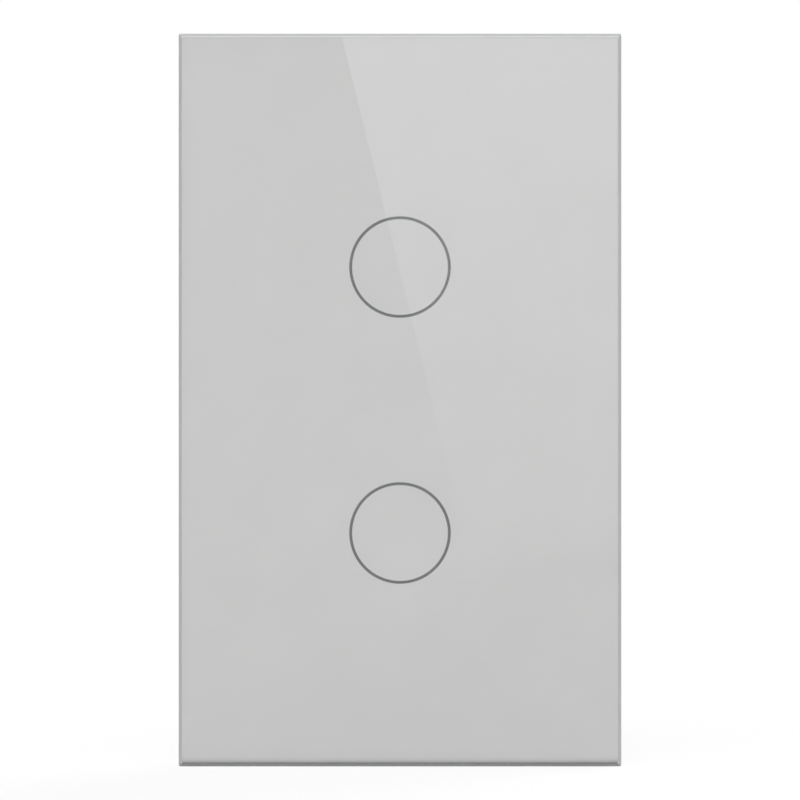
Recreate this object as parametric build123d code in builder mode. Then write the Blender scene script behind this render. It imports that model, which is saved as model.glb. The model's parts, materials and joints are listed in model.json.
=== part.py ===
from build123d import *

import os
from math import asin, cos, degrees, hypot, pi, sin

os.makedirs("parts", exist_ok=True)

# A smart light switch with a glass touch panel, for a single American wall box.
# Millimetres. X is to the right, Z is up, Y = 0 is the wall plane and the glass faces -Y.
# The origin is midway between the two box screws. A place is an (x, z) pair seen from the front.

# Driving dimensions of the panel
PANEL_WIDTH = 72.5
PANEL_HEIGHT = 120.0
GLASS_THICKNESS = 4.0
GLASS_BEVEL = 0.5
GLASS_CORNER = 0.3
PRINT_THICKNESS = 0.12
ADHESIVE_THICKNESS = 0.28
RING_DIAMETER = 16.2
RING_LINE = 0.48
RING_PITCH = 43.66

# Driving dimensions of what hangs on the wall box
BOX_SCREW_SPACING = 83.3
BOX_SCREW_SLOT = (4.0, 7.0)
HOUSING_SIZE = (45.0, 70.0)
HOUSING_WALL = 1.6
BOARD_THICKNESS = 1.6

# Depths: y of each face, from the front to the back
GLASS_FRONT = -11.0
GLASS_BACK = GLASS_FRONT + GLASS_THICKNESS
PRINT_BACK = GLASS_BACK + PRINT_THICKNESS
ADHESIVE_BACK = PRINT_BACK + ADHESIVE_THICKNESS
DECK_BACK = ADHESIVE_BACK + 1.4
CHASSIS_FRONT = DECK_BACK + 0.3
YOKE_FRONT = -1.5
TOUCH_BOARD_FRONT = -1.0
SKIRT_BACK = -0.3
WALL = 0.0
TOUCH_BOARD_BACK = TOUCH_BOARD_FRONT + BOARD_THICKNESS
POCKET_FLOOR = 1.6
POCKET_BACK = 2.8
POWER_BOARD_FRONT = 4.4
POWER_BOARD_BACK = POWER_BOARD_FRONT + BOARD_THICKNESS
PIN_TIP = POWER_BOARD_FRONT - 0.6
STEP_BACK = 22.0
HOUSING_BACK = 27.0

# Gaps
TOUCHING = 0.03
RUNNING = 0.05
LOOSE = 0.2

# Edge breaks: fine on small parts and bold on mouldings
FINE_EDGE = 0.2
EDGE = 0.4
BOLD_EDGE = 0.8

RING_CENTRES = ((0, RING_PITCH / 2), (0, -RING_PITCH / 2))
RING_OUTER = (RING_DIAMETER + RING_LINE) / 2
RING_INNER = (RING_DIAMETER - RING_LINE) / 2
LEVELS = ("upper", "lower")


def wall_plane(y):
    """A plane parallel to the wall at this y, whose sketches read as (x, z) from the front."""
    return Plane.XZ.offset(-y)


def corners(x, z):
    """The four places at plus and minus x and z."""
    return [(sx * x, sz * z) for sx in (-1, 1) for sz in (-1, 1)]


def plates(size, y_front, y_back, places=((0, 0),), corner=0.0, mode=Mode.ADD):
    """Rectangular blocks or holes between two depths, one at each place."""
    with BuildSketch(wall_plane(y_back)) as outline:
        with Locations(*places):
            if corner:
                RectangleRounded(*size, corner)
            else:
                Rectangle(*size)
    extrude(outline.sketch, amount=y_back - y_front, mode=mode)


def discs(radius, y_front, y_back, places=((0, 0),), mode=Mode.ADD):
    """Round posts or holes between two depths, one at each place."""
    with BuildSketch(wall_plane(y_back)) as outline:
        with Locations(*places):
            Circle(radius)
    extrude(outline.sketch, amount=y_back - y_front, mode=mode)


def spread(x_range, y_range, z_range, mode=Mode.ADD):
    """A block given by its lowest and highest x, y and z."""
    middle = tuple(sum(pair) / 2 for pair in (x_range, y_range, z_range))
    size = [high - low for low, high in (x_range, y_range, z_range)]
    with Locations(middle):
        Box(*size, mode=mode)


def save(piece, name):
    """Label a finished piece and write it as one STEP file."""
    piece.part.label = name
    export_step(piece.part, f"parts/{name}.step")


# Glass panel: toughened glass with nearly square corners and a bevel round both faces, ground so that
# each corner runs to a point on the face
GLASS_POINT = 0.05
BACK_BEVEL = GLASS_BEVEL / 2
SIDE_FRONT = GLASS_FRONT + GLASS_BEVEL
SIDE_BACK = GLASS_BACK - BACK_BEVEL

with BuildPart() as glass_panel:
    plates((PANEL_WIDTH, PANEL_HEIGHT), SIDE_FRONT, SIDE_BACK, corner=GLASS_CORNER)
    for side_y, face_y, bevel in (
        (SIDE_FRONT, GLASS_FRONT, GLASS_BEVEL),
        (SIDE_BACK, GLASS_BACK, BACK_BEVEL),
    ):
        with BuildSketch(wall_plane(side_y)):
            RectangleRounded(PANEL_WIDTH, PANEL_HEIGHT, GLASS_CORNER)
        with BuildSketch(wall_plane(face_y)):
            RectangleRounded(PANEL_WIDTH - 2 * bevel, PANEL_HEIGHT - 2 * bevel, GLASS_POINT)
        loft(ruled=True)
save(glass_panel, "glass_panel")

# Print on the back of the glass, open along the two ring lines, a hair clear so that no faces coincide
PRINT_MARGIN = 0.4
PRINT_SIZE = (PANEL_WIDTH - 2 * PRINT_MARGIN, PANEL_HEIGHT - 2 * PRINT_MARGIN)
INK_THICKNESS = PRINT_THICKNESS - TOUCHING

with BuildPart() as back_print:
    with BuildSketch(wall_plane(PRINT_BACK)):
        RectangleRounded(*PRINT_SIZE, GLASS_CORNER)
        with Locations(*RING_CENTRES):
            Circle(RING_OUTER, mode=Mode.SUBTRACT)
            Circle(RING_INNER)
    extrude(amount=INK_THICKNESS)
save(back_print, "back_print")

# Ring marks: dark ink in the open ring lines of the print
for level, centre in zip(LEVELS, RING_CENTRES):
    with BuildPart() as ring_print:
        with BuildSketch(wall_plane(PRINT_BACK)):
            with Locations(centre):
                Circle(RING_OUTER)
                Circle(RING_INNER, mode=Mode.SUBTRACT)
        extrude(amount=INK_THICKNESS)
    save(ring_print, f"ring_print_{level}")

# Adhesive sheet between the print and the frame, open over both touch areas
FRAME_MARGIN = 0.6
FRAME_SIZE = (PANEL_WIDTH - 2 * FRAME_MARGIN, PANEL_HEIGHT - 2 * FRAME_MARGIN)
FRAME_WALL = 1.5
FRAME_CORNER = 1.2
DECK_OPENING = 9.2
ADHESIVE_MARGIN = 1.0

with BuildPart() as panel_adhesive:
    with BuildSketch(wall_plane(ADHESIVE_BACK)):
        Rectangle(FRAME_SIZE[0] - 2 * ADHESIVE_MARGIN, FRAME_SIZE[1] - 2 * ADHESIVE_MARGIN)
        with Locations(*RING_CENTRES):
            Circle(DECK_OPENING, mode=Mode.SUBTRACT)
    extrude(amount=ADHESIVE_THICKNESS)
save(panel_adhesive, "panel_adhesive")

# Panel frame: a deck that carries the glass and a skirt that snaps over the chassis
FRAME_INSIDE = (FRAME_SIZE[0] - 2 * FRAME_WALL, FRAME_SIZE[1] - 2 * FRAME_WALL)
BEAD_REACH = 0.8
BEAD_ROOT = 0.2
BEAD_LENGTH = 9.0
BEAD_FRONT = YOKE_FRONT + 0.2
BEAD_HEIGHT = 34.0
PRY_NOTCH = (11.0, 2 * FRAME_WALL)
PRY_NOTCH_FRONT = SKIRT_BACK - 1.3

side_bead_x = FRAME_INSIDE[0] / 2 - (BEAD_REACH - BEAD_ROOT) / 2
end_bead_z = FRAME_INSIDE[1] / 2 - (BEAD_REACH - BEAD_ROOT) / 2
bead_width = BEAD_REACH + BEAD_ROOT

with BuildPart() as panel_frame:
    plates(FRAME_SIZE, ADHESIVE_BACK, SKIRT_BACK, corner=FRAME_CORNER)
    plates(FRAME_INSIDE, DECK_BACK, SKIRT_BACK, mode=Mode.SUBTRACT)
    discs(DECK_OPENING, ADHESIVE_BACK, DECK_BACK, RING_CENTRES, mode=Mode.SUBTRACT)
    chamfer(faces().sort_by(Axis.Y)[0].outer_wire().edges(), FINE_EDGE)
    plates((bead_width, BEAD_LENGTH), BEAD_FRONT, SKIRT_BACK, corners(side_bead_x, BEAD_HEIGHT))
    plates((BEAD_LENGTH, bead_width), BEAD_FRONT, SKIRT_BACK, ((0, end_bead_z),))
    plates(PRY_NOTCH, PRY_NOTCH_FRONT, SKIRT_BACK, ((0, -FRAME_SIZE[1] / 2),), mode=Mode.SUBTRACT)
save(panel_frame, "panel_frame")

# Yoke: plated steel strap with a window for the housing and a slot for each box screw
YOKE_SIZE = (60.0, 106.0)
YOKE_CROP = 6.0
YOKE_CORNER = 1.5
YOKE_WINDOW_MARGIN = 0.3
YOKE_WINDOW = tuple(side + 2 * YOKE_WINDOW_MARGIN for side in HOUSING_SIZE)
SLOT_PLACES = ((0, BOX_SCREW_SPACING / 2), (0, -BOX_SCREW_SPACING / 2))
YOKE_SCREW_PLACES = corners(13.0, 38.6)
YOKE_SCREW_SINK = 0.04
YOKE_SCREW_RADIUS = 1.45
YOKE_SCREW_HEAD = 2.7

with BuildPart() as yoke:
    with BuildSketch(wall_plane(WALL)):
        Rectangle(*YOKE_SIZE)
        chamfer(vertices(), YOKE_CROP)
        RectangleRounded(*YOKE_WINDOW, 2.0, mode=Mode.SUBTRACT)
        with Locations(*SLOT_PLACES):
            SlotOverall(BOX_SCREW_SLOT[1], BOX_SCREW_SLOT[0], rotation=90, mode=Mode.SUBTRACT)
    extrude(amount=WALL - YOKE_FRONT)
    fillet(edges().filter_by(Axis.Y).group_by(Axis.Z)[0], YOKE_CORNER)
    fillet(edges().filter_by(Axis.Y).group_by(Axis.Z)[-1], YOKE_CORNER)
    with Locations(Plane.XZ.rotated((180, 0, 0))):
        with Locations(*YOKE_SCREW_PLACES):
            CounterSinkHole(YOKE_SCREW_RADIUS + RUNNING, YOKE_SCREW_HEAD + RUNNING, counter_sink_angle=90)
save(yoke, "yoke")

# Yoke screws: flat heads flush with the back of the yoke, threaded into the chassis
HEAD_HEIGHT = 1.3
CROSS_RADIUS = 0.9
CROSS_DEPTH = 0.7
YOKE_CROSS_RADIUS = 1.3
YOKE_SCREW_TIP = CHASSIS_FRONT + 0.7
yoke_head_back = WALL - YOKE_SCREW_SINK
yoke_cone_front = yoke_head_back - (YOKE_SCREW_HEAD - YOKE_SCREW_RADIUS)


def cross_recess(radius, depth, y_head, places):
    """Cut a cross for a screwdriver into screw heads whose outer face is at y_head."""
    for size in ((2 * radius, radius / 2), (radius / 2, 2 * radius)):
        plates(size, y_head - depth, y_head + depth, places, mode=Mode.SUBTRACT)


with BuildPart() as yoke_screws:
    for x, z in YOKE_SCREW_PLACES:
        with BuildSketch(Plane.YZ) as half:
            with BuildLine():
                Polyline(
                    (YOKE_SCREW_TIP, 0),
                    (YOKE_SCREW_TIP, YOKE_SCREW_RADIUS),
                    (yoke_cone_front, YOKE_SCREW_RADIUS),
                    (yoke_head_back, YOKE_SCREW_HEAD),
                    (yoke_head_back, 0),
                    close=True,
                )
            make_face()
        with Locations((x, 0, z)):
            add(revolve(half.sketch, Axis.Y, mode=Mode.PRIVATE))
    cross_recess(YOKE_CROSS_RADIUS, CROSS_DEPTH, yoke_head_back, YOKE_SCREW_PLACES)
save(yoke_screws, "yoke_screws")

# Chassis: moulded plate with a pocket for the touch board, inside the yoke's window
CHASSIS_GAP = 0.95
CHASSIS_SIZE = (FRAME_INSIDE[0] - 2 * CHASSIS_GAP, FRAME_INSIDE[1] - 2 * CHASSIS_GAP)
CHASSIS_CORNER = 2.0
HOUSING_INSIDE = tuple(side - 2 * HOUSING_WALL for side in HOUSING_SIZE)
POCKET_OUTSIDE = tuple(side - 2 * LOOSE for side in HOUSING_INSIDE)
POCKET_WALL = 1.2
POCKET_INSIDE = tuple(side - 2 * POCKET_WALL for side in POCKET_OUTSIDE)
ACCESS_SIZE = (9.0, 13.5)
RECESS_DEPTH = 1.4
SIDE_RECESS = (8.0, 24.0)
SIDE_RECESS_PLACES = corners(27.2, 13.6) + corners(27.2, 40.0)
END_RECESS = (11.0, 11.0)
END_RECESS_PLACES = corners(14.0, 46.6)
STRAP_X = 13.0
STRAP_WIDTH = 5.0
STRAP_THICKNESS = 0.5
STRAP_END = -41.4
HEADER_X = 16.4
HEADER_PINS = 7
HEADER_PITCH = 2.54
HEADER_WINDOW = (3.4, HEADER_PINS * HEADER_PITCH + 0.8)
TOUCH_SCREW_PLACES = ((-16.2, 11.0), (16.2, -13.0))
POWER_SCREW_PLACES = ((-17.4, 7.0), (17.4, 12.4))
BOARD_SCREW_RADIUS = 0.95
BOARD_SCREW_HEAD = 1.9
TOUCH_SCREW_TIP = 3.2
TOUCH_BOSS_BACK = PIN_TIP - LOOSE
POWER_SCREW_TIP = POCKET_FLOOR + 0.5
BOSS_RADIUS = 2.3
POST_X = 18.3
POST_PLACES = [(x, z) for z in (30.3, -18.8) for x in (-POST_X, POST_X)]
POST_RADIUS = 2.5
POST_BACK = 9.2
HOUSING_SCREW_RADIUS = 1.15
HOUSING_SCREW_TIP = 3.6

strap_z = -(POCKET_OUTSIDE[1] / 2 - STRAP_THICKNESS / 2)
strap_slot_x = (STRAP_X - STRAP_WIDTH / 2 - LOOSE, STRAP_X + STRAP_WIDTH / 2 + LOOSE)
strap_slot_z = (STRAP_END - LOOSE, strap_z + STRAP_THICKNESS / 2 + TOUCHING)
recess_floor = CHASSIS_FRONT + RECESS_DEPTH

with BuildPart() as chassis:
    plates(CHASSIS_SIZE, CHASSIS_FRONT, YOKE_FRONT, corner=CHASSIS_CORNER)
    chamfer(faces().sort_by(Axis.Y)[0].edges(), EDGE)
    plates(SIDE_RECESS, CHASSIS_FRONT, recess_floor, SIDE_RECESS_PLACES, 1.0, Mode.SUBTRACT)
    plates(END_RECESS, CHASSIS_FRONT, recess_floor, END_RECESS_PLACES, 1.0, Mode.SUBTRACT)
    plates(POCKET_OUTSIDE, YOKE_FRONT, POCKET_BACK, corner=1.5)
    plates(POCKET_INSIDE, CHASSIS_FRONT, POCKET_FLOOR, corner=1.0, mode=Mode.SUBTRACT)
    plates(ACCESS_SIZE, CHASSIS_FRONT, YOKE_FRONT, SLOT_PLACES, 4.0, Mode.SUBTRACT)
    plates(HEADER_WINDOW, POCKET_FLOOR, POCKET_BACK, ((HEADER_X, 0),), mode=Mode.SUBTRACT)
    discs(BOSS_RADIUS, TOUCH_BOARD_BACK, TOUCH_BOSS_BACK, TOUCH_SCREW_PLACES)
    discs(BOSS_RADIUS, POCKET_FLOOR, POWER_BOARD_FRONT, POWER_SCREW_PLACES)
    discs(POST_RADIUS, POCKET_FLOOR, POST_BACK, POST_PLACES)
    spread(strap_slot_x, (YOKE_FRONT - STRAP_THICKNESS, POCKET_BACK), strap_slot_z, mode=Mode.SUBTRACT)
    for radius, y_front, y_back, places in (
        (BOARD_SCREW_RADIUS, TOUCH_BOARD_BACK, TOUCH_BOSS_BACK, TOUCH_SCREW_PLACES),
        (BOARD_SCREW_RADIUS, POWER_SCREW_TIP - LOOSE / 2, POWER_BOARD_FRONT, POWER_SCREW_PLACES),
        (HOUSING_SCREW_RADIUS, HOUSING_SCREW_TIP - LOOSE, POST_BACK, POST_PLACES),
        (YOKE_SCREW_RADIUS, YOKE_SCREW_TIP - LOOSE, YOKE_FRONT, YOKE_SCREW_PLACES),
    ):
        discs(radius + TOUCHING, y_front, y_back, places, Mode.SUBTRACT)
save(chassis, "chassis")

# Rear housing: the box that goes into the wall, stepped where the terminal block shows
HOUSING_CORNER = 2.5
STEP_Z = -21.4
VENT_SIZE = (1.4, 15.0)
VENT_PITCH = 3.4
VENT_COUNT = 8
VENT_Z = 15.0
LABEL_SIZE = (26.0, 13.0)
LABEL_DEPTH = 0.3
LABEL_Z = -7.0
WELL_RADIUS = 2.9
WELL_BORE = 2.1
WELL_FRONT = POST_BACK + 0.2
WELL_FLOOR = WELL_FRONT + HOUSING_WALL
POLES = 5
POLE_PITCH = 7.62
POLE_X = [POLE_PITCH * (i - (POLES - 1) / 2) for i in range(POLES)]
BLOCK_BOTTOM = -33.2
BLOCK_TOP = -22.2
BLOCK_BACK = STEP_BACK + 0.4
WIRE_ENTRY = 3.8
WIRE_ENTRY_FRONT = POWER_BOARD_BACK + 1.7

step_inside = STEP_BACK - HOUSING_WALL
back_inside = HOUSING_BACK - HOUSING_WALL
inside_corner = HOUSING_CORNER - HOUSING_WALL
upper_outside = (HOUSING_SIZE[0], HOUSING_SIZE[1] / 2 - STEP_Z)
upper_inside = tuple(side - 2 * HOUSING_WALL for side in upper_outside)
upper_z = (HOUSING_SIZE[1] / 2 + STEP_Z) / 2
block_size = (POLES * POLE_PITCH, BLOCK_TOP - BLOCK_BOTTOM)
block_place = (0, (BLOCK_BOTTOM + BLOCK_TOP) / 2)
block_window = tuple(side + LOOSE for side in block_size)
wire_entry_y = (WIRE_ENTRY_FRONT, WIRE_ENTRY_FRONT + WIRE_ENTRY)

with BuildPart() as rear_housing:
    plates(HOUSING_SIZE, YOKE_FRONT, STEP_BACK, corner=HOUSING_CORNER)
    plates(upper_outside, step_inside, HOUSING_BACK, ((0, upper_z),), HOUSING_CORNER)
    chamfer(faces().sort_by(Axis.Y)[-1].edges(), BOLD_EDGE)
    plates(HOUSING_INSIDE, YOKE_FRONT, step_inside, corner=inside_corner, mode=Mode.SUBTRACT)
    plates(upper_inside, step_inside, back_inside, ((0, upper_z),), inside_corner, Mode.SUBTRACT)
    discs(WELL_RADIUS, WELL_FRONT, back_inside, POST_PLACES)
    discs(WELL_BORE, WELL_FLOOR, HOUSING_BACK, POST_PLACES, Mode.SUBTRACT)
    discs(HOUSING_SCREW_RADIUS + LOOSE, WELL_FRONT, WELL_FLOOR, POST_PLACES, Mode.SUBTRACT)
    plates(block_window, step_inside, STEP_BACK, (block_place,), mode=Mode.SUBTRACT)
    for x in POLE_X:
        entry_x = (x - WIRE_ENTRY / 2, x + WIRE_ENTRY / 2)
        spread(entry_x, wire_entry_y, (-HOUSING_SIZE[1] / 2, BLOCK_BOTTOM), mode=Mode.SUBTRACT)
    with BuildSketch(wall_plane(HOUSING_BACK)) as vents:
        with Locations((0, VENT_Z)):
            with GridLocations(VENT_PITCH, 0, VENT_COUNT, 1):
                SlotOverall(VENT_SIZE[1], VENT_SIZE[0], rotation=90)
    extrude(vents.sketch, amount=HOUSING_WALL, mode=Mode.SUBTRACT)
    plates(LABEL_SIZE, HOUSING_BACK - LABEL_DEPTH, HOUSING_BACK, ((0, LABEL_Z),), 1.0, Mode.SUBTRACT)
save(rear_housing, "rear_housing")

# Housing screws: pan heads at the bottom of the wells, threaded into the chassis posts
with BuildPart() as housing_screws:
    discs(HOUSING_SCREW_RADIUS, HOUSING_SCREW_TIP, WELL_FLOOR, POST_PLACES)
    discs(WELL_BORE - LOOSE, WELL_FLOOR, WELL_FLOOR + HEAD_HEIGHT, POST_PLACES)
    fillet(edges().filter_by(GeomType.CIRCLE).group_by(Axis.Y)[-1], EDGE)
    cross_recess(CROSS_RADIUS, CROSS_DEPTH, WELL_FLOOR + HEAD_HEIGHT, POST_PLACES)
save(housing_screws, "housing_screws")

# Touch board: sits in the pocket of the chassis, close behind the glass
BOARD_MARGIN = 0.3
TOUCH_BOARD_SIZE = tuple(side - 2 * BOARD_MARGIN for side in POCKET_INSIDE)
SPRING_WIRE = 0.6
SPRING_RADIUS = 4.2
SPRING_PITCH = 1.1
SPRING_TURNS = 4
SPRING_BEND = 0.9
SPRING_START = TOUCH_BOARD_FRONT - SPRING_BEND - LOOSE
SOLDER_REACH = 0.4
PIN_RADIUS = 0.32
PIN_HOLE = PIN_RADIUS + TOUCHING

spring_slope = SPRING_PITCH / (2 * pi * SPRING_RADIUS)
spring_tilt = asin(spring_slope / hypot(1, spring_slope))
spring_pin_shift = SPRING_BEND * (1 - sin(spring_tilt))
SPRING_PIN_PLACES = [(x + SPRING_RADIUS, z - spring_pin_shift) for x, z in RING_CENTRES]
HEADER_PLACES = [(HEADER_X, HEADER_PITCH * (i - (HEADER_PINS - 1) / 2)) for i in range(HEADER_PINS)]

with BuildPart() as touch_board:
    plates(TOUCH_BOARD_SIZE, TOUCH_BOARD_FRONT, TOUCH_BOARD_BACK, corner=1.0)
    discs(BOARD_SCREW_RADIUS + LOOSE, TOUCH_BOARD_FRONT, TOUCH_BOARD_BACK, TOUCH_SCREW_PLACES, Mode.SUBTRACT)
    discs(SPRING_WIRE / 2 + TOUCHING, TOUCH_BOARD_FRONT, TOUCH_BOARD_BACK, SPRING_PIN_PLACES, Mode.SUBTRACT)
    discs(PIN_HOLE, TOUCH_BOARD_FRONT, TOUCH_BOARD_BACK, HEADER_PLACES, Mode.SUBTRACT)
save(touch_board, "touch_board")

# Board screws: two hold the touch board from the front, two hold the power board from the back
with BuildPart() as touch_board_screws:
    discs(BOARD_SCREW_RADIUS, TOUCH_BOARD_FRONT, TOUCH_SCREW_TIP, TOUCH_SCREW_PLACES)
    discs(BOARD_SCREW_HEAD, TOUCH_BOARD_FRONT - HEAD_HEIGHT, TOUCH_BOARD_FRONT, TOUCH_SCREW_PLACES)
    fillet(edges().filter_by(GeomType.CIRCLE).group_by(Axis.Y)[0], EDGE)
    cross_recess(CROSS_RADIUS, CROSS_DEPTH, TOUCH_BOARD_FRONT - HEAD_HEIGHT, TOUCH_SCREW_PLACES)
save(touch_board_screws, "touch_board_screws")

with BuildPart() as power_board_screws:
    discs(BOARD_SCREW_RADIUS, POWER_SCREW_TIP, POWER_BOARD_BACK, POWER_SCREW_PLACES)
    discs(BOARD_SCREW_HEAD, POWER_BOARD_BACK, POWER_BOARD_BACK + HEAD_HEIGHT, POWER_SCREW_PLACES)
    fillet(edges().filter_by(GeomType.CIRCLE).group_by(Axis.Y)[-1], EDGE)
    cross_recess(CROSS_RADIUS, CROSS_DEPTH, POWER_BOARD_BACK + HEAD_HEIGHT, POWER_SCREW_PLACES)
save(power_board_screws, "power_board_screws")


# Touch springs: helical coils that carry the touch signal from the board to the glass
def coil_point(centre, angle):
    """Point of the coil's centre line and its direction, at this angle in radians."""
    x, z = centre
    depth = SPRING_START - SPRING_PITCH * angle / (2 * pi)
    point = Vector(x + SPRING_RADIUS * cos(angle), depth, z + SPRING_RADIUS * sin(angle))
    way = Vector(-sin(angle), -spring_slope, cos(angle)).normalized()
    return point, way


def biarc(start, start_way, end, end_way):
    """Two arcs that leave start and reach end in the given directions, smooth where they meet."""
    chord = end - start
    along = chord.dot(start_way + end_way)
    spare = 2 * (1 - start_way.dot(end_way))
    reach = (-along + (along**2 + spare * chord.dot(chord)) ** 0.5) / spare
    middle = (start + end + (start_way - end_way) * reach) * 0.5
    middle_way = (end - end_way * reach) - (start + start_way * reach)
    TangentArc(start, middle, tangent=start_way)
    TangentArc(middle, end, tangent=middle_way)


def least_gap(points, wire, skip):
    """Least distance between turns of a tube along evenly spaced points of its centre line."""
    pairs = ((a, b) for i, a in enumerate(points) for b in points[i + skip:])
    return min((a - b).length for a, b in pairs) - wire


QUARTER = pi / 2
SAMPLES = 240

for level, centre in zip(LEVELS, RING_CENTRES):
    first, first_way = coil_point(centre, 0)
    bend_angle = QUARTER - spring_tilt
    bend_start = first + Vector(0, SPRING_BEND * sin(bend_angle), -SPRING_BEND * (1 - cos(bend_angle)))
    pin_end = Vector(bend_start.X, TOUCH_BOARD_BACK + SOLDER_REACH, bend_start.Z)
    with BuildPart() as touch_spring:
        with BuildLine() as route:
            Line(pin_end, bend_start)
            TangentArc(bend_start, first, tangent=(0, -1, 0))
            for step in range(4 * SPRING_TURNS):
                biarc(*coil_point(centre, step * QUARTER), *coil_point(centre, (step + 1) * QUARTER))
            last, last_way = coil_point(centre, 4 * SPRING_TURNS * QUARTER)
            Line(last, last + last_way * SPRING_WIRE)
        with BuildSketch(Plane(origin=pin_end, z_dir=(0, -1, 0))):
            Circle(SPRING_WIRE / 2)
        sweep()
    samples = [route.wire() @ (i / SAMPLES) for i in range(SAMPLES + 1)]
    gap = least_gap(samples, SPRING_WIRE, SAMPLES // (2 * SPRING_TURNS))
    volume = pi * SPRING_WIRE**2 / 4 * route.wire().length
    print(f"touch_spring_{level}: least gap {gap:.2f} mm")
    print(f"touch_spring_{level}: volume {touch_spring.part.volume:.2f} mm3, wire x section {volume:.2f} mm3")
    save(touch_spring, f"touch_spring_{level}")

# Light rings: translucent collars that spread the indicator light behind each ring mark
COLLAR_OUTER = 8.8
COLLAR_INNER = 7.3
COLLAR_LIP = 0.5
COLLAR_LIP_FRONT = TOUCH_BOARD_FRONT - 0.9
COLLAR_FRONT = PRINT_BACK + LOOSE

for level, (x, z) in zip(LEVELS, RING_CENTRES):
    with BuildPart() as light_ring:
        with BuildSketch(Plane.XY) as section:
            with BuildLine():
                Polyline(
                    (COLLAR_INNER - COLLAR_LIP, TOUCH_BOARD_FRONT),
                    (COLLAR_OUTER, TOUCH_BOARD_FRONT),
                    (COLLAR_OUTER, COLLAR_FRONT + EDGE),
                    (COLLAR_OUTER - EDGE, COLLAR_FRONT),
                    (COLLAR_INNER, COLLAR_FRONT),
                    (COLLAR_INNER, COLLAR_LIP_FRONT),
                    (COLLAR_INNER - COLLAR_LIP, COLLAR_LIP_FRONT),
                    close=True,
                )
            make_face()
        collar = revolve(section.sketch, Axis.Y, mode=Mode.PRIVATE)
        with Locations((x, 0, z)):
            add(collar)
    save(light_ring, f"light_ring_{level}")

# Parts soldered to the front of the touch board
LED_ORBIT = 5.9
LED_SIZE = (1.6, 0.8)
LED_LENS_SIZE = (1.1, 0.7)
LED_HEIGHT = 0.8
RADIO_PLACE = (3.6, 0)
RADIO_BOARD = (16.0, 24.0)
RADIO_BOARD_THICKNESS = 0.8
RADIO_PADS = 8
RADIO_PAD_PITCH = 2.0
RADIO_PAD_RADIUS = 0.4
RADIO_CAN = (12.2, 14.2)
RADIO_CAN_HEIGHT = 1.8
RADIO_CAN_METAL = 0.25
RADIO_CAN_SHIFT = -3.6
TOUCH_CHIP_PLACE = (-10.8, -0.6)
CHIP_SIZE = (3.9, 9.9)
CHIP_HEIGHT = 1.4
CHIP_LIFT = 0.15
CHIP_LEG = 0.4
CHIP_LEG_REACH = 1.0
CHIP_LEG_THICKNESS = 0.2
CHIP_LEG_PITCH = 1.27
SMALL_PART = (0.8, 1.6)
SMALL_PART_HEIGHT = 0.5

led_places = [
    (x + LED_ORBIT * cos(k * QUARTER + QUARTER / 2), z + LED_ORBIT * sin(k * QUARTER + QUARTER / 2))
    for x, z in RING_CENTRES
    for k in range(4)
]
small_part_places = [(x, z) for x in (-16.6, -14.9) for z in (-9.5, -6.2, -2.9, 0.4, 3.7)]
small_part_places += [(x, z) for x in (-13.6, -11.6) for z in (11.0, 14.4, -10.4, -13.6)]
small_part_places += [(x, z) for x in (12.6, 14.6) for z in (12.6, 15.8)]

with BuildPart() as ring_leds:
    plates(LED_SIZE, TOUCH_BOARD_FRONT - LED_HEIGHT / 2, TOUCH_BOARD_FRONT, led_places)
    plates(LED_LENS_SIZE, TOUCH_BOARD_FRONT - LED_HEIGHT, TOUCH_BOARD_FRONT, led_places)
save(ring_leds, "ring_leds")

with BuildPart() as radio_board:
    radio_front = TOUCH_BOARD_FRONT - RADIO_BOARD_THICKNESS
    plates(RADIO_BOARD, radio_front, TOUCH_BOARD_FRONT, (RADIO_PLACE,))
    pad_x = [RADIO_PLACE[0] + side * RADIO_BOARD[0] / 2 for side in (-1, 1)]
    pad_z = [RADIO_CAN_SHIFT + RADIO_PAD_PITCH * (i - (RADIO_PADS - 1) / 2) for i in range(RADIO_PADS)]
    pads = [(x, z) for x in pad_x for z in pad_z]
    discs(RADIO_PAD_RADIUS, radio_front, TOUCH_BOARD_FRONT, pads, Mode.SUBTRACT)
save(radio_board, "radio_board")

with BuildPart() as radio_shield:
    shield_place = (RADIO_PLACE[0], RADIO_PLACE[1] + RADIO_CAN_SHIFT)
    shield_front = radio_front - RADIO_CAN_HEIGHT
    plates(RADIO_CAN, shield_front, radio_front, (shield_place,), EDGE)
    fillet(faces().sort_by(Axis.Y)[0].edges(), FINE_EDGE)
    shield_inside = tuple(side - 2 * RADIO_CAN_METAL for side in RADIO_CAN)
    plates(shield_inside, shield_front + RADIO_CAN_METAL, radio_front, (shield_place,), mode=Mode.SUBTRACT)
save(radio_shield, "radio_shield")

with BuildPart() as touch_chip:
    x, z = TOUCH_CHIP_PLACE
    plates(CHIP_SIZE, TOUCH_BOARD_FRONT - CHIP_HEIGHT, TOUCH_BOARD_FRONT - CHIP_LIFT, (TOUCH_CHIP_PLACE,))
    chamfer(faces().sort_by(Axis.Y)[0].edges(), FINE_EDGE)
    legs = [(x, z + CHIP_LEG_PITCH * (i - 3.5)) for i in range(8)]
    leg_front = TOUCH_BOARD_FRONT - CHIP_LEG_THICKNESS
    plates((CHIP_SIZE[0] + 2 * CHIP_LEG_REACH, CHIP_LEG), leg_front, TOUCH_BOARD_FRONT, legs)
save(touch_chip, "touch_chip")

with BuildPart() as small_parts:
    plates(SMALL_PART, TOUCH_BOARD_FRONT - SMALL_PART_HEIGHT, TOUCH_BOARD_FRONT, small_part_places)
save(small_parts, "small_parts")

# Header between the two boards: pins in a moulded strip, and the socket strip they pass through
HEADER_STRIP = (2.5, HEADER_PINS * HEADER_PITCH)
HEADER_STRIP_BACK = 2.9
SOCKET_FRONT = HEADER_STRIP_BACK + LOOSE

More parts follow.
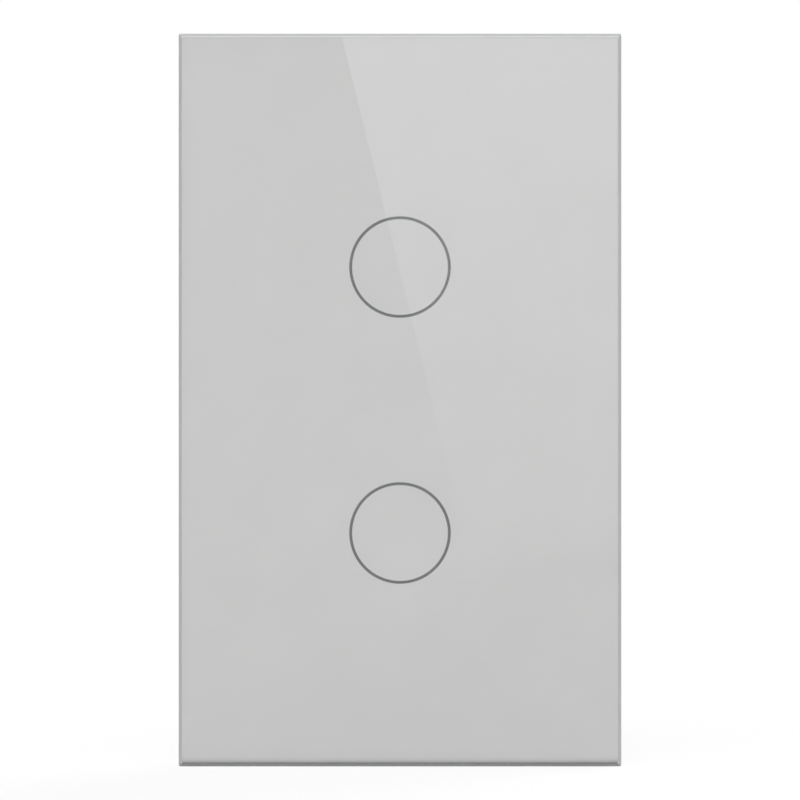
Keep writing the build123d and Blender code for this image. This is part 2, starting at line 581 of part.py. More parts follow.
with BuildPart() as header_pins:
    plates(HEADER_STRIP, TOUCH_BOARD_BACK, HEADER_STRIP_BACK, ((HEADER_X, 0),))
    discs(PIN_RADIUS, TOUCH_BOARD_FRONT - SOLDER_REACH, POWER_BOARD_BACK + SOLDER_REACH, HEADER_PLACES)
save(header_pins, "header_pins")

with BuildPart() as header_socket:
    plates(HEADER_STRIP, SOCKET_FRONT, POWER_BOARD_FRONT, ((HEADER_X, 0),))
    discs(PIN_HOLE, SOCKET_FRONT, POWER_BOARD_FRONT, HEADER_PLACES, Mode.SUBTRACT)
save(header_socket, "header_socket")

# Places of what stands on the back of the power board
RELAY_X = (-7.6, 7.6)
RELAY_Z = -10.4
RELAY_SIZE = (10.2, 18.4)
RELAY_FRONT = POWER_BOARD_BACK + LOOSE
RELAY_BACK = RELAY_FRONT + 15.5
RELAY_PINS = ((-3.8, -7.4), (3.8, -7.4), (0, 3.6), (0, 7.0))
FUSE_PLACE = (-9.6, 3.7)
FUSE_RADIUS = 4.2
FUSE_HEIGHT = 7.6
VARISTOR_PLACE = (9.2, 1.8)
VARISTOR_RADIUS = 5.0
VARISTOR_THICKNESS = 4.2
FILM_PLACE = (6.5, 8.2)
FILM_SIZE = (13.0, 5.0)
FILM_HEIGHT = 11.0
RECTIFIER_PLACE = (-11.6, 13.0)
RECTIFIER_SIZE = (8.5, 6.4)
RECTIFIER_HEIGHT = 3.4
POWER_CHIP_PLACE = (-4.1, 12.4)
POWER_CHIP_SIZE = (4.9, 3.9)
MAINS_CAN_PLACE = (-12.0, 22.5)
MAINS_CAN_RADIUS = 5.0
MAINS_CAN_HEIGHT = 16.0
OUTPUT_CAN_PLACE = (16.0, 18.2)
OUTPUT_CAN_RADIUS = 3.15
OUTPUT_CAN_HEIGHT = 11.0
CORE_PLACE = (4.5, 20.8)
CORE_SIZE = (14.0, 6.2)
CORE_HEIGHT = 13.0
BOBBIN_SIZE = (8.6, 12.6)
LEAD_RADIUS = 0.35


def moved(place, offsets):
    """Places around another place."""
    return [(place[0] + x, place[1] + z) for x, z in offsets]


relay_leads = [pin for x in RELAY_X for pin in moved((x, RELAY_Z), RELAY_PINS)]
fuse_leads = moved(FUSE_PLACE, ((-2.5, 0), (2.5, 0)))
varistor_leads = moved(VARISTOR_PLACE, ((-3.7, -0.9), (3.7, 0.9)))
film_leads = moved(FILM_PLACE, ((-5.0, 0), (5.0, 0)))
rectifier_leads = moved(RECTIFIER_PLACE, corners(2.54, 2.2))
mains_can_leads = moved(MAINS_CAN_PLACE, ((-2.5, 0), (2.5, 0)))
output_can_leads = moved(OUTPUT_CAN_PLACE, ((-1.25, 0), (1.25, 0)))
transformer_leads = moved(CORE_PLACE, corners(3.0, 5.2))
part_leads = fuse_leads + varistor_leads + film_leads + rectifier_leads
part_leads += mains_can_leads + output_can_leads + transformer_leads
BUSBAR_LEG_Z = -24.1
BUSBAR_LEG = (2.4, 1.0)

# Power board: fills the housing, cut out around the four posts
POWER_BOARD_SIZE = tuple(side - 2 * BOARD_MARGIN for side in HOUSING_INSIDE)
STRAP_PIN = (2.0, STRAP_THICKNESS)

with BuildPart() as power_board:
    plates(POWER_BOARD_SIZE, POWER_BOARD_FRONT, POWER_BOARD_BACK, corner=0.8)
    discs(POST_RADIUS + LOOSE, POWER_BOARD_FRONT, POWER_BOARD_BACK, POST_PLACES, Mode.SUBTRACT)
    notch = (2 * (POWER_BOARD_SIZE[0] / 2 - POST_X), 2 * (POST_RADIUS + LOOSE))
    notch_places = [(x / POST_X * POWER_BOARD_SIZE[0] / 2, z) for x, z in POST_PLACES]
    plates(notch, POWER_BOARD_FRONT, POWER_BOARD_BACK, notch_places, mode=Mode.SUBTRACT)
    discs(BOARD_SCREW_RADIUS + LOOSE, POWER_BOARD_FRONT, POWER_BOARD_BACK, POWER_SCREW_PLACES, Mode.SUBTRACT)
    discs(PIN_HOLE, POWER_BOARD_FRONT, POWER_BOARD_BACK, HEADER_PLACES, Mode.SUBTRACT)
    for places in (relay_leads, part_leads):
        discs(LEAD_RADIUS + TOUCHING, POWER_BOARD_FRONT, POWER_BOARD_BACK, places, Mode.SUBTRACT)
    leg_slot = tuple(side + LOOSE for side in BUSBAR_LEG)
    leg_places = [(x, BUSBAR_LEG_Z) for x in POLE_X]
    plates(leg_slot, POWER_BOARD_FRONT, POWER_BOARD_BACK, leg_places, mode=Mode.SUBTRACT)
    strap_notch = (STRAP_PIN[0] + LOOSE, 2 * STRAP_PIN[1] + LOOSE)
    plates(strap_notch, POWER_BOARD_FRONT, POWER_BOARD_BACK, ((STRAP_X, strap_z),), mode=Mode.SUBTRACT)
save(power_board, "power_board")


def leads(places, y_back):
    """Solder leads from below the power board to this depth."""
    discs(LEAD_RADIUS, PIN_TIP, y_back, places)


# Earth strap: from the power board round the edge of the pocket to the front of the yoke
with BuildPart() as earth_strap:
    strap_x = (STRAP_X - STRAP_WIDTH / 2, STRAP_X + STRAP_WIDTH / 2)
    strap_front = YOKE_FRONT - STRAP_THICKNESS
    spread(strap_x, (strap_front, YOKE_FRONT), (STRAP_END, strap_z + STRAP_THICKNESS / 2))
    plates((STRAP_WIDTH, STRAP_THICKNESS), strap_front, POWER_BOARD_FRONT - TOUCHING, ((STRAP_X, strap_z),))
    plates(STRAP_PIN, strap_front, POWER_BOARD_BACK, ((STRAP_X, strap_z),))
    yoke_screw = (STRAP_X, YOKE_SCREW_PLACES[0][1])
    discs(YOKE_SCREW_RADIUS + RUNNING, strap_front, YOKE_FRONT, (yoke_screw,), Mode.SUBTRACT)
save(earth_strap, "earth_strap")

# Passive parts on the power board, each with its leads
PART_FRONT = POWER_BOARD_BACK + LOOSE
LEAD_BACK = POWER_BOARD_BACK + 1.0
VARISTOR_LIFT = 1.2
GROOVE_WIDTH = 0.8
GROOVE_DEPTH = 0.4
GROOVE_BACK = PART_FRONT + 2.4

with BuildPart() as fuse:
    discs(FUSE_RADIUS, PART_FRONT, POWER_BOARD_BACK + FUSE_HEIGHT, (FUSE_PLACE,))
    fillet(edges().filter_by(GeomType.CIRCLE).group_by(Axis.Y)[-1], EDGE)
    leads(fuse_leads, LEAD_BACK)
save(fuse, "fuse")

with BuildPart() as varistor:
    x, z = VARISTOR_PLACE
    with Locations((x, POWER_BOARD_BACK + VARISTOR_LIFT + VARISTOR_RADIUS, z)):
        Cylinder(VARISTOR_RADIUS, VARISTOR_THICKNESS)
    fillet(edges().filter_by(GeomType.CIRCLE), BOLD_EDGE)
    leads(varistor_leads, POWER_BOARD_BACK + VARISTOR_RADIUS)
save(varistor, "varistor")

with BuildPart() as film_capacitor:
    plates(FILM_SIZE, PART_FRONT, POWER_BOARD_BACK + FILM_HEIGHT, (FILM_PLACE,))
    chamfer(faces().sort_by(Axis.Y)[-1].edges(), EDGE)
    leads(film_leads, LEAD_BACK)
save(film_capacitor, "film_capacitor")

with BuildPart() as bridge_rectifier:
    plates(RECTIFIER_SIZE, PART_FRONT, POWER_BOARD_BACK + RECTIFIER_HEIGHT, (RECTIFIER_PLACE,))
    chamfer(faces().sort_by(Axis.Y)[-1].edges(), EDGE)
    leads(rectifier_leads, LEAD_BACK)
save(bridge_rectifier, "bridge_rectifier")

with BuildPart() as power_chip:
    x, z = POWER_CHIP_PLACE
    plates(POWER_CHIP_SIZE, POWER_BOARD_BACK + CHIP_LIFT, POWER_BOARD_BACK + CHIP_HEIGHT, (POWER_CHIP_PLACE,))
    chamfer(faces().sort_by(Axis.Y)[-1].edges(), FINE_EDGE)
    legs = [(x + CHIP_LEG_PITCH * (i - 1.5), z) for i in range(4)]
    leg_back = POWER_BOARD_BACK + CHIP_LEG_THICKNESS
    plates((CHIP_LEG, POWER_CHIP_SIZE[1] + 2 * CHIP_LEG_REACH), POWER_BOARD_BACK, leg_back, legs)
save(power_chip, "power_chip")


def capacitor_can(place, radius, height, lead_places):
    """Electrolytic can with a rolled groove near its foot."""
    discs(radius, PART_FRONT, POWER_BOARD_BACK + height, (place,))
    fillet(edges().filter_by(GeomType.CIRCLE).group_by(Axis.Y)[-1], EDGE)
    with BuildSketch(wall_plane(GROOVE_BACK)) as groove:
        with Locations(place):
            Circle(radius)
            Circle(radius - GROOVE_DEPTH, mode=Mode.SUBTRACT)
    extrude(groove.sketch, amount=GROOVE_WIDTH, mode=Mode.SUBTRACT)
    leads(lead_places, LEAD_BACK)


with BuildPart() as mains_capacitor:
    capacitor_can(MAINS_CAN_PLACE, MAINS_CAN_RADIUS, MAINS_CAN_HEIGHT, mains_can_leads)
save(mains_capacitor, "mains_capacitor")

with BuildPart() as output_capacitor:
    capacitor_can(OUTPUT_CAN_PLACE, OUTPUT_CAN_RADIUS, OUTPUT_CAN_HEIGHT, output_can_leads)
save(output_capacitor, "output_capacitor")

# Transformer: a bobbin with its winding inside a closed ferrite frame
BOBBIN_FLANGE = 1.0
BOBBIN_LIP = 0.5
CORE_LIMB = 2.6
CORE_YOKE = 1.2
core_back = PART_FRONT + CORE_HEIGHT
bobbin_front = PART_FRONT + CORE_YOKE
bobbin_back = core_back - CORE_YOKE
winding_size = tuple(side - 2 * BOBBIN_LIP for side in BOBBIN_SIZE)
limb_bore = (CORE_LIMB + LOOSE, CORE_LIMB + LOOSE)

with BuildPart() as transformer_winding:
    for y in (bobbin_front, bobbin_back - BOBBIN_FLANGE):
        plates(BOBBIN_SIZE, y, y + BOBBIN_FLANGE, (CORE_PLACE,))
    plates(winding_size, bobbin_front, bobbin_back, (CORE_PLACE,), corner=2.0)
    plates(limb_bore, bobbin_front, bobbin_back, (CORE_PLACE,), mode=Mode.SUBTRACT)
    leads(transformer_leads, bobbin_front)
save(transformer_winding, "transformer_winding")

with BuildPart() as transformer_core:
    core_window = (BOBBIN_SIZE[0] + LOOSE, CORE_SIZE[1])
    plates(CORE_SIZE, PART_FRONT, core_back, (CORE_PLACE,))
    plates(core_window, bobbin_front - RUNNING, bobbin_back + RUNNING, (CORE_PLACE,), mode=Mode.SUBTRACT)
    plates((CORE_LIMB, CORE_LIMB), PART_FRONT, core_back, (CORE_PLACE,))
save(transformer_core, "transformer_core")

# Terminal block: five poles, screws reached from behind, wires entered from below
SCREW_Z = -29.2
CAVITY = (6.2, 6.7)
CAVITY_Z = -29.25
LEDGE_FRONT = 18.2
LEDGE_BACK = 19.0
TERMINAL_SCREW_RADIUS = 1.75
TERMINAL_HEAD_RADIUS = 2.6
TERMINAL_HEAD_HEIGHT = 1.6
TERMINAL_WELL_RADIUS = 2.9
BUSBAR_FRONT = 11.6
BUSBAR_BACK = 12.6
BUSBAR_WIDTH = 3.6
BUSBAR_Z = (-32.0, -23.6)
GROOVE_SIZE = (0.8, 1.6)

with BuildPart() as terminal_block:
    pole_places = [(x, CAVITY_Z) for x in POLE_X]
    screw_places = [(x, SCREW_Z) for x in POLE_X]
    groove_places = [(x + POLE_PITCH / 2, BLOCK_TOP) for x in POLE_X[:-1]]
    plates(block_size, POWER_BOARD_BACK, BLOCK_BACK, (block_place,))
    chamfer(faces().sort_by(Axis.Y)[-1].edges(), FINE_EDGE)
    plates(CAVITY, POWER_BOARD_BACK, LEDGE_FRONT, pole_places, mode=Mode.SUBTRACT)
    discs(TERMINAL_SCREW_RADIUS + LOOSE, LEDGE_FRONT, LEDGE_BACK, screw_places, Mode.SUBTRACT)
    discs(TERMINAL_WELL_RADIUS, LEDGE_BACK, BLOCK_BACK, screw_places, Mode.SUBTRACT)
    plates(GROOVE_SIZE, LEDGE_FRONT, BLOCK_BACK, groove_places, mode=Mode.SUBTRACT)
    for x in POLE_X:
        bar_x = (x - BUSBAR_WIDTH / 2 - RUNNING, x + BUSBAR_WIDTH / 2 + RUNNING)
        bar_y = (POWER_BOARD_BACK, BUSBAR_BACK + RUNNING)
        entry_x = (x - WIRE_ENTRY / 2, x + WIRE_ENTRY / 2)
        spread(bar_x, bar_y, (CAVITY_Z, BUSBAR_Z[1] + RUNNING), mode=Mode.SUBTRACT)
        spread(entry_x, wire_entry_y, (BLOCK_BOTTOM, CAVITY_Z), mode=Mode.SUBTRACT)
save(terminal_block, "terminal_block")

# Busbars: one in each pole, its leg soldered into the power board
with BuildPart() as terminal_busbars:
    for x in POLE_X:
        spread((x - BUSBAR_WIDTH / 2, x + BUSBAR_WIDTH / 2), (BUSBAR_FRONT, BUSBAR_BACK), BUSBAR_Z)
        spread((x - BUSBAR_LEG[0] / 2, x + BUSBAR_LEG[0] / 2), (PIN_TIP, BUSBAR_BACK),
               (BUSBAR_LEG_Z - BUSBAR_LEG[1] / 2, BUSBAR_LEG_Z + BUSBAR_LEG[1] / 2))
save(terminal_busbars, "terminal_busbars")

# Rising clamps and their screws, one pair in each pole, drawn fully open
CLAMP_WIDTH = 5.8
CLAMP_LENGTH = 6.0
CLAMP_WALL = 0.7
CLAMP_FRONT = POWER_BOARD_BACK + 0.6
CLAMP_FLOOR = CLAMP_FRONT + 1.0
DRIVER_SLOT = 0.8
CLAMP_ROOF = 13.2
CLAMP_BACK = 14.4
SCREW_PITCH = 0.6
CLAMP_TURNS = 6

for number, x in enumerate(POLE_X, start=1):
    with BuildPart() as terminal_clamp:
        plates((CLAMP_WIDTH, CLAMP_LENGTH), CLAMP_FRONT, CLAMP_BACK, ((x, SCREW_Z),))
        fillet(edges().filter_by(Axis.Z), EDGE)
        plates((CLAMP_WIDTH - 2 * CLAMP_WALL, CLAMP_LENGTH), CLAMP_FLOOR, CLAMP_ROOF, ((x, SCREW_Z),),
               mode=Mode.SUBTRACT)
        discs(TERMINAL_SCREW_RADIUS + RUNNING, CLAMP_ROOF, CLAMP_BACK, ((x, SCREW_Z),), Mode.SUBTRACT)
    save(terminal_clamp, f"terminal_clamp_{number}")

    with BuildPart() as terminal_screw:
        head_front = LEDGE_BACK + RUNNING
        head_back = head_front + TERMINAL_HEAD_HEIGHT
        place = ((x, SCREW_Z),)
        discs(TERMINAL_SCREW_RADIUS, BUSBAR_BACK + RUNNING, head_front, place)
        chamfer(edges().filter_by(GeomType.CIRCLE).group_by(Axis.Y)[0], EDGE)
        discs(TERMINAL_HEAD_RADIUS, head_front, head_back, place)
        fillet(edges().filter_by(GeomType.CIRCLE).group_by(Axis.Y)[-1], EDGE)
        for slot in ((2 * TERMINAL_HEAD_RADIUS, DRIVER_SLOT), (DRIVER_SLOT, 4 * DRIVER_SLOT)):
            plates(slot, head_back - DRIVER_SLOT, head_back, place, mode=Mode.SUBTRACT)
    save(terminal_screw, f"terminal_screw_{number}")

# Relays: a coil on a steel frame pulls an armature, whose leaf closes the contact
CASE_WALL = 0.6
BASE_BACK = RELAY_FRONT + 2.0
COIL_SHIFT = -3.6
FLANGE_RADIUS = 4.2
COIL_RADIUS = 3.7
COIL_FRONT = BASE_BACK + 0.9
COIL_BACK = COIL_FRONT + 8.6
FLANGE_THICKNESS = 0.8
MAGNET_CORE_RADIUS = 1.6
MAGNET_POLE_RADIUS = 2.6
MAGNET_HALF_WIDTH = 3.4
POLE_BACK = COIL_BACK + 0.4
HINGE_BACK = POLE_BACK + 0.4
UPRIGHT_Z = (0.8, 1.6)
ARMATURE_FRONT = HINGE_BACK + RUNNING
ARMATURE_THICKNESS = 1.0
ARMATURE_Z = (-6.0, 2.6)
LEAF_THICKNESS = 0.2
LEAF_Z = 4.4
LEAF_HALF_WIDTH = 1.8
CONTACT_DEPTH = 6.4
CONTACT_RADIUS = 1.1
CONTACT_THICKNESS = 0.5
CONTACT_GAP = 0.5

for number, x in enumerate(RELAY_X, start=1):
    middle = ((x, RELAY_Z),)
    coil_place = ((x, RELAY_Z + COIL_SHIFT),)
    inside = (RELAY_SIZE[0] - 2 * CASE_WALL, RELAY_SIZE[1] - 2 * CASE_WALL)
    contact_y = HINGE_BACK - CONTACT_DEPTH
    leaf_front = contact_y - CONTACT_RADIUS - RUNNING
    leaf_back = ARMATURE_FRONT + ARMATURE_THICKNESS + LEAF_THICKNESS

    with BuildPart() as relay_case:
        plates(RELAY_SIZE, RELAY_FRONT, RELAY_BACK, middle)
        fillet(faces().sort_by(Axis.Y)[-1].edges(), EDGE)
        plates(inside, RELAY_FRONT, RELAY_BACK - CASE_WALL, middle, mode=Mode.SUBTRACT)
    save(relay_case, f"relay_{number}_case")

    with BuildPart() as relay_base:
        plates((inside[0] - 2 * RUNNING, inside[1] - 2 * RUNNING), RELAY_FRONT, BASE_BACK, middle)
        leads(moved((x, RELAY_Z), RELAY_PINS), BASE_BACK)
    save(relay_base, f"relay_{number}_base")

    with BuildPart() as relay_coil:
        discs(COIL_RADIUS, COIL_FRONT, COIL_BACK, coil_place)
        for y in (COIL_FRONT, COIL_BACK - FLANGE_THICKNESS):
            discs(FLANGE_RADIUS, y, y + FLANGE_THICKNESS, coil_place)
        discs(MAGNET_CORE_RADIUS + TOUCHING, COIL_FRONT, COIL_BACK, coil_place, Mode.SUBTRACT)
    save(relay_coil, f"relay_{number}_coil")

    with BuildPart() as relay_magnet:
        magnet_x = (x - MAGNET_HALF_WIDTH, x + MAGNET_HALF_WIDTH)
        magnet_z = (RELAY_Z + COIL_SHIFT - MAGNET_HALF_WIDTH, RELAY_Z + UPRIGHT_Z[1])
        spread(magnet_x, (BASE_BACK, COIL_FRONT - RUNNING), magnet_z)
        spread(magnet_x, (BASE_BACK, HINGE_BACK), [RELAY_Z + z for z in UPRIGHT_Z])
        discs(MAGNET_CORE_RADIUS, BASE_BACK, POLE_BACK, coil_place)
        discs(MAGNET_POLE_RADIUS, COIL_BACK + RUNNING, POLE_BACK, coil_place)
    save(relay_magnet, f"relay_{number}_magnet")

    with BuildPart() as relay_armature:
        armature_back = ARMATURE_FRONT + ARMATURE_THICKNESS
        leaf_x = (x - LEAF_HALF_WIDTH, x + LEAF_HALF_WIDTH)
        leaf_z = RELAY_Z + LEAF_Z
        rivet_plane = Plane.XY.offset(leaf_z)
        spread(magnet_x, (ARMATURE_FRONT, armature_back), [RELAY_Z + z for z in ARMATURE_Z])
        spread(leaf_x, (armature_back, leaf_back), (RELAY_Z, leaf_z + LEAF_THICKNESS))
        spread(leaf_x, (leaf_front, leaf_back), (leaf_z, leaf_z + LEAF_THICKNESS))
        with BuildSketch(rivet_plane) as rivet:
            with Locations((x, contact_y)):
                Circle(CONTACT_RADIUS)
        extrude(rivet.sketch, amount=LEAF_THICKNESS + CONTACT_THICKNESS)
    save(relay_armature, f"relay_{number}_armature")

    with BuildPart() as relay_contact:
        fixed_z = leaf_z + LEAF_THICKNESS + CONTACT_THICKNESS + CONTACT_GAP
        post_z = (fixed_z + CONTACT_THICKNESS, fixed_z + 2 * CONTACT_THICKNESS)
        spread(leaf_x, (BASE_BACK, contact_y + CONTACT_RADIUS + RUNNING), post_z)
        with BuildSketch(Plane.XY.offset(fixed_z)) as rivet:
            with Locations((x, contact_y)):
                Circle(CONTACT_RADIUS)
        extrude(rivet.sketch, amount=CONTACT_THICKNESS)
    save(relay_contact, f"relay_{number}_contact")

# Where the joints are, and how far they may go before metal meets metal
hinge_z = RELAY_Z + sum(UPRIGHT_Z) / 2
armature_angle = degrees(asin((ARMATURE_FRONT - POLE_BACK) / (hinge_z - RELAY_Z - ARMATURE_Z[0])))
clamp_room = LEDGE_FRONT - CLAMP_BACK
clamp_lift = SCREW_PITCH * CLAMP_TURNS
print(f"relay armatures: hinge at y {HINGE_BACK:.2f}, z {hinge_z:.2f}, free for {armature_angle:.2f} degrees")
print(f"terminal screws: axis at z {SCREW_Z:.2f}, x", ", ".join(f"{x:.2f}" for x in POLE_X))
print(f"terminal clamps: lift {clamp_lift:.2f} mm in {CLAMP_TURNS} turns, with {clamp_room:.2f} mm of room")
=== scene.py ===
"""A smart light switch in a plain studio: the finish of every part, and the small details on its boards."""
import json
import math
from collections import namedtuple

import bmesh
import bpy
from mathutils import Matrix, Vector


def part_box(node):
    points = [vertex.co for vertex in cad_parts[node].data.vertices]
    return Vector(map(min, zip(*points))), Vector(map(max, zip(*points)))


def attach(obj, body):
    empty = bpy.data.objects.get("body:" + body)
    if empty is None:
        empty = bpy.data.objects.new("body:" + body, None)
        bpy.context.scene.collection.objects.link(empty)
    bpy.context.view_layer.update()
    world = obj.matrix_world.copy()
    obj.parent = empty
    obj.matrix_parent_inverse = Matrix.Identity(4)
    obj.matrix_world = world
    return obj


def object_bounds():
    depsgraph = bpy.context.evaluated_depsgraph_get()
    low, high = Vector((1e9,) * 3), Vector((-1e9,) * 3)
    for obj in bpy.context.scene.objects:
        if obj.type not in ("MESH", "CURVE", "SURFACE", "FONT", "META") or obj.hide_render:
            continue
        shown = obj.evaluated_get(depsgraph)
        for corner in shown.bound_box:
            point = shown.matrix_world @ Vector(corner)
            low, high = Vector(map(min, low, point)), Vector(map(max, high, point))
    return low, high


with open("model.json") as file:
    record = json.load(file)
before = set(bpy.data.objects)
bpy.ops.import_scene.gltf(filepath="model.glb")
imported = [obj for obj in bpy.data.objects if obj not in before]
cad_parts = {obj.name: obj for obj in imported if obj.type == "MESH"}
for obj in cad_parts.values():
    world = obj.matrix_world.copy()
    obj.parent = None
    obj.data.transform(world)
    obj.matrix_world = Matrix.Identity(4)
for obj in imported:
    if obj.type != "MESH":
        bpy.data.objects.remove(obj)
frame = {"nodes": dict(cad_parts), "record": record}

cad_low, cad_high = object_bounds()
nodes = frame["nodes"]

MM = 0.001
# A limit past every part, in mm
BEYOND = 50.0

# The photograph: its width in pixels, and its scale at the front of the glass
IMAGE_PIXELS = 800
PIXELS_PER_MM = 6.108
GLASS_FRONT = cad_low.y
CAMERA_DISTANCE = 1.0

# Light levels: together they show a surface that faces the camera about as its colour is written.
# A lamp has the way that its light comes from, its level, and how wide it stands in the sky in degrees
WORLD_LEVEL = 0.18
LAMPS = {
    "key_lamp": ((-0.10, -0.75, 0.65), 0.42, 35),
    "front_fill": ((0.10, -0.95, 0.25), 0.31, 60),
    "left_fill": ((-0.80, -0.60, 0.30), 0.18, 60),
    "right_fill": ((0.80, -0.60, 0.30), 0.24, 60),
    "rear_key": ((0.35, 0.70, 0.62), 0.62, 40),
    "rear_fill": ((-0.45, 0.89, 0.0), 0.32, 60),
}

# The floor: its reach and its gap under the part in metres, and the share of plain white where it is seen
FLOOR_REACH = 30.0
FLOOR_GAP = 0.0004
FLOOR_WHITE = 0.86

# The card that the glass mirrors: its corners where they show on the glass, in mm
CARD_OUTLINE = ((-12.6, 72.0), (60.0, 72.0), (60.0, -80.0), (-60.0, -80.0), (-60.0, -57.0), (11.1, -24.0))
CARD_BEHIND_CAMERA = 0.1
# Its level by height, and what the dark part at its foot takes off, whose edge climbs to the right
CARD_LEVEL = ((-30.0, 1.0), (-12.0, 1.17), (0.0, 1.26), (24.0, 1.40), (50.0, 1.63), (60.0, 1.72))
CARD_SHADE = ((-31.0, 0.0), (-46.0, -0.24), (-60.0, -0.38), (-75.0, -0.44))
CARD_SLOPE = 0.466


# Steps that all materials and lights share
def linear(hex_value):
    """Linear colour from an sRGB hex value."""
    parts = [int(hex_value[i : i + 2], 16) / 255 for i in (1, 3, 5)]
    return (*[p / 12.92 if p <= 0.04045 else ((p + 0.055) / 1.055) ** 2.4 for p in parts], 1.0)


def add(tree, kind, feeds=None, **settings):
    """Adds a node with its settings; feeds gives an input its value or the output that drives it."""
    node = tree.nodes.new(kind)
    for name, value in settings.items():
        setattr(node, name, value)
    for name, value in (feeds or {}).items():
        if isinstance(value, bpy.types.NodeSocket):
            tree.links.new(value, node.inputs[name])
        else:
            node.inputs[name].default_value = value
    return node


def ramp(tree, along, steps, unit):
    """A value that goes straight from step to step along a length, and stays as it is past both ends."""
    level = steps[0][1]
    for (first, before), (last, after) in zip(steps, steps[1:]):
        feeds = {"Value": along, "From Min": first * unit, "From Max": last * unit, "To Max": after - before}
        part = add(tree, "ShaderNodeMapRange", feeds).outputs[0]
        level = add(tree, "ShaderNodeMath", {0: level, 1: part}, operation="ADD").outputs[0]
    return level


def put(name, data):
    """Puts an object with that data in the scene."""
    made = bpy.data.objects.new(name, data)
    bpy.context.scene.collection.objects.link(made)
    return made


# Camera, lamps, world, floor and the card that the glass mirrors
def place_camera():
    """Looks straight at the glass with a long lens, and frames it as the photograph does."""
    lens = bpy.data.cameras.new("camera")
    view_width = IMAGE_PIXELS / PIXELS_PER_MM * MM
    lens.lens = lens.sensor_width * CAMERA_DISTANCE / view_width
    camera = put("camera", lens)
    camera.location = (0, GLASS_FRONT - CAMERA_DISTANCE, 0)
    camera.rotation_euler = (math.pi / 2, 0, 0)
    bpy.context.scene.camera = camera


def place_lamps():
    """Large soft lamps far away, so that they light the whole part evenly."""
    for name, (source, level, width) in LAMPS.items():
        lamp = bpy.data.lights.new(name, "SUN")
        lamp.energy = level * math.pi
        lamp.angle = math.radians(width)
        # Clear glass mirrors no disc of a lamp
        lamp.cycles.use_multiple_importance_sampling = False
        put(name, lamp).rotation_euler = Vector(source).to_track_quat("Z", "Y").to_euler()


def seen_directly(tree):
    """1 for rays from the camera, from a mirror and through glass, and 0 for the light on surfaces."""
    rays = add(tree, "ShaderNodeLightPath").outputs
    seen = rays["Is Camera Ray"]
    for kind in ("Is Glossy Ray", "Is Transmission Ray"):
        seen = add(tree, "ShaderNodeMath", {0: seen, 1: rays[kind]}, operation="MAXIMUM").outputs[0]
    # Light that a matt surface gathers through the glass is light on a surface too
    first = add(tree, "ShaderNodeMath", {0: rays["Diffuse Depth"], 1: 0.5}, operation="LESS_THAN").outputs[0]
    return add(tree, "ShaderNodeMath", {0: seen, 1: first}, operation="MULTIPLY").outputs[0]


def light_world():
    """White where it is seen, and at the lamps' fill level where it lights the part."""
    world = bpy.data.worlds.new("studio")
    world.use_nodes = True
    tree = world.node_tree
    tree.nodes.clear()
    level = add(tree, "ShaderNodeMix", {0: seen_directly(tree), 2: WORLD_LEVEL, 3: 1.0}, data_type="FLOAT")
    ground = add(tree, "ShaderNodeBackground", {"Color": (1, 1, 1, 1), "Strength": level.outputs[0]})
    add(tree, "ShaderNodeOutputWorld", {"Surface": ground.outputs[0]})
    bpy.context.scene.world = world


def flat_sheet(name, material_name, corners):
    """A staged face through the corners, in metres; gives it with its material's empty node tree."""
    mesh = bpy.data.meshes.new(name)
    mesh.from_pydata(corners, [], [tuple(range(len(corners)))])
    made = put(name, mesh)
    material = bpy.data.materials.new(material_name)
    material.use_nodes = True
    material.node_tree.nodes.clear()
    mesh.materials.append(material)
    return made, material.node_tree


def lay_floor():
    """A pale floor that shows white and keeps a soft shadow of the part."""
    height = cad_low.z - FLOOR_GAP
    corners = [(x * FLOOR_REACH, y * FLOOR_REACH, height) for x, y in ((-1, -1), (1, -1), (1, 1), (-1, 1))]
    floor, tree = flat_sheet("floor", "pale_floor_paint", corners)
    direct = seen_directly(tree)
    tones = {0: direct, 6: linear("#A2A2A2"), 7: linear("#FBFBFB")}
    colour = add(tree, "ShaderNodeMix", tones, data_type="RGBA")
    paint = add(tree, "ShaderNodeBsdfDiffuse", {"Color": colour.outputs[2]})
    glow = add(tree, "ShaderNodeEmission", {"Color": (1, 1, 1, 1), "Strength": 1.0})
    share = add(tree, "ShaderNodeMath", {0: direct, 1: FLOOR_WHITE}, operation="MULTIPLY")
    shown = add(tree, "ShaderNodeMixShader", {0: share.outputs[0], 1: paint.outputs[0], 2: glow.outputs[0]})
    add(tree, "ShaderNodeOutputMaterial", {"Surface": shown.outputs[0]})
    # What the glass mirrors is the studio, not the floor at its foot
    floor.visible_glossy = False


def hang_reflector():
    """A card behind the camera, which the glass mirrors: bright above its slanted edge, dark at its foot."""
    distance = CAMERA_DISTANCE + CARD_BEHIND_CAMERA
    spread = (distance + CAMERA_DISTANCE) / CAMERA_DISTANCE * MM
    corners = [(x * spread, GLASS_FRONT - distance, z * spread) for x, z in CARD_OUTLINE]
    card, tree = flat_sheet("reflector", "reflector_card", corners)
    card.visible_camera = False
    card.visible_diffuse = False
    card.visible_shadow = False
    place = add(tree, "ShaderNodeTexCoord").outputs["Object"]
    axes = add(tree, "ShaderNodeSeparateXYZ", {0: place}).outputs
    rise = add(tree, "ShaderNodeMath", {0: axes["X"], 1: CARD_SLOPE}, operation="MULTIPLY").outputs[0]
    across = add(tree, "ShaderNodeMath", {0: axes["Z"], 1: rise}, operation="SUBTRACT").outputs[0]
    level = ramp(tree, axes["Z"], CARD_LEVEL, spread)
    shade = ramp(tree, across, CARD_SHADE, spread)
    both = add(tree, "ShaderNodeMath", {0: level, 1: shade}, operation="ADD").outputs[0]
    glow = add(tree, "ShaderNodeEmission", {"Color": (1, 1, 1, 1), "Strength": both})
    add(tree, "ShaderNodeOutputMaterial", {"Surface": glow.outputs[0]})


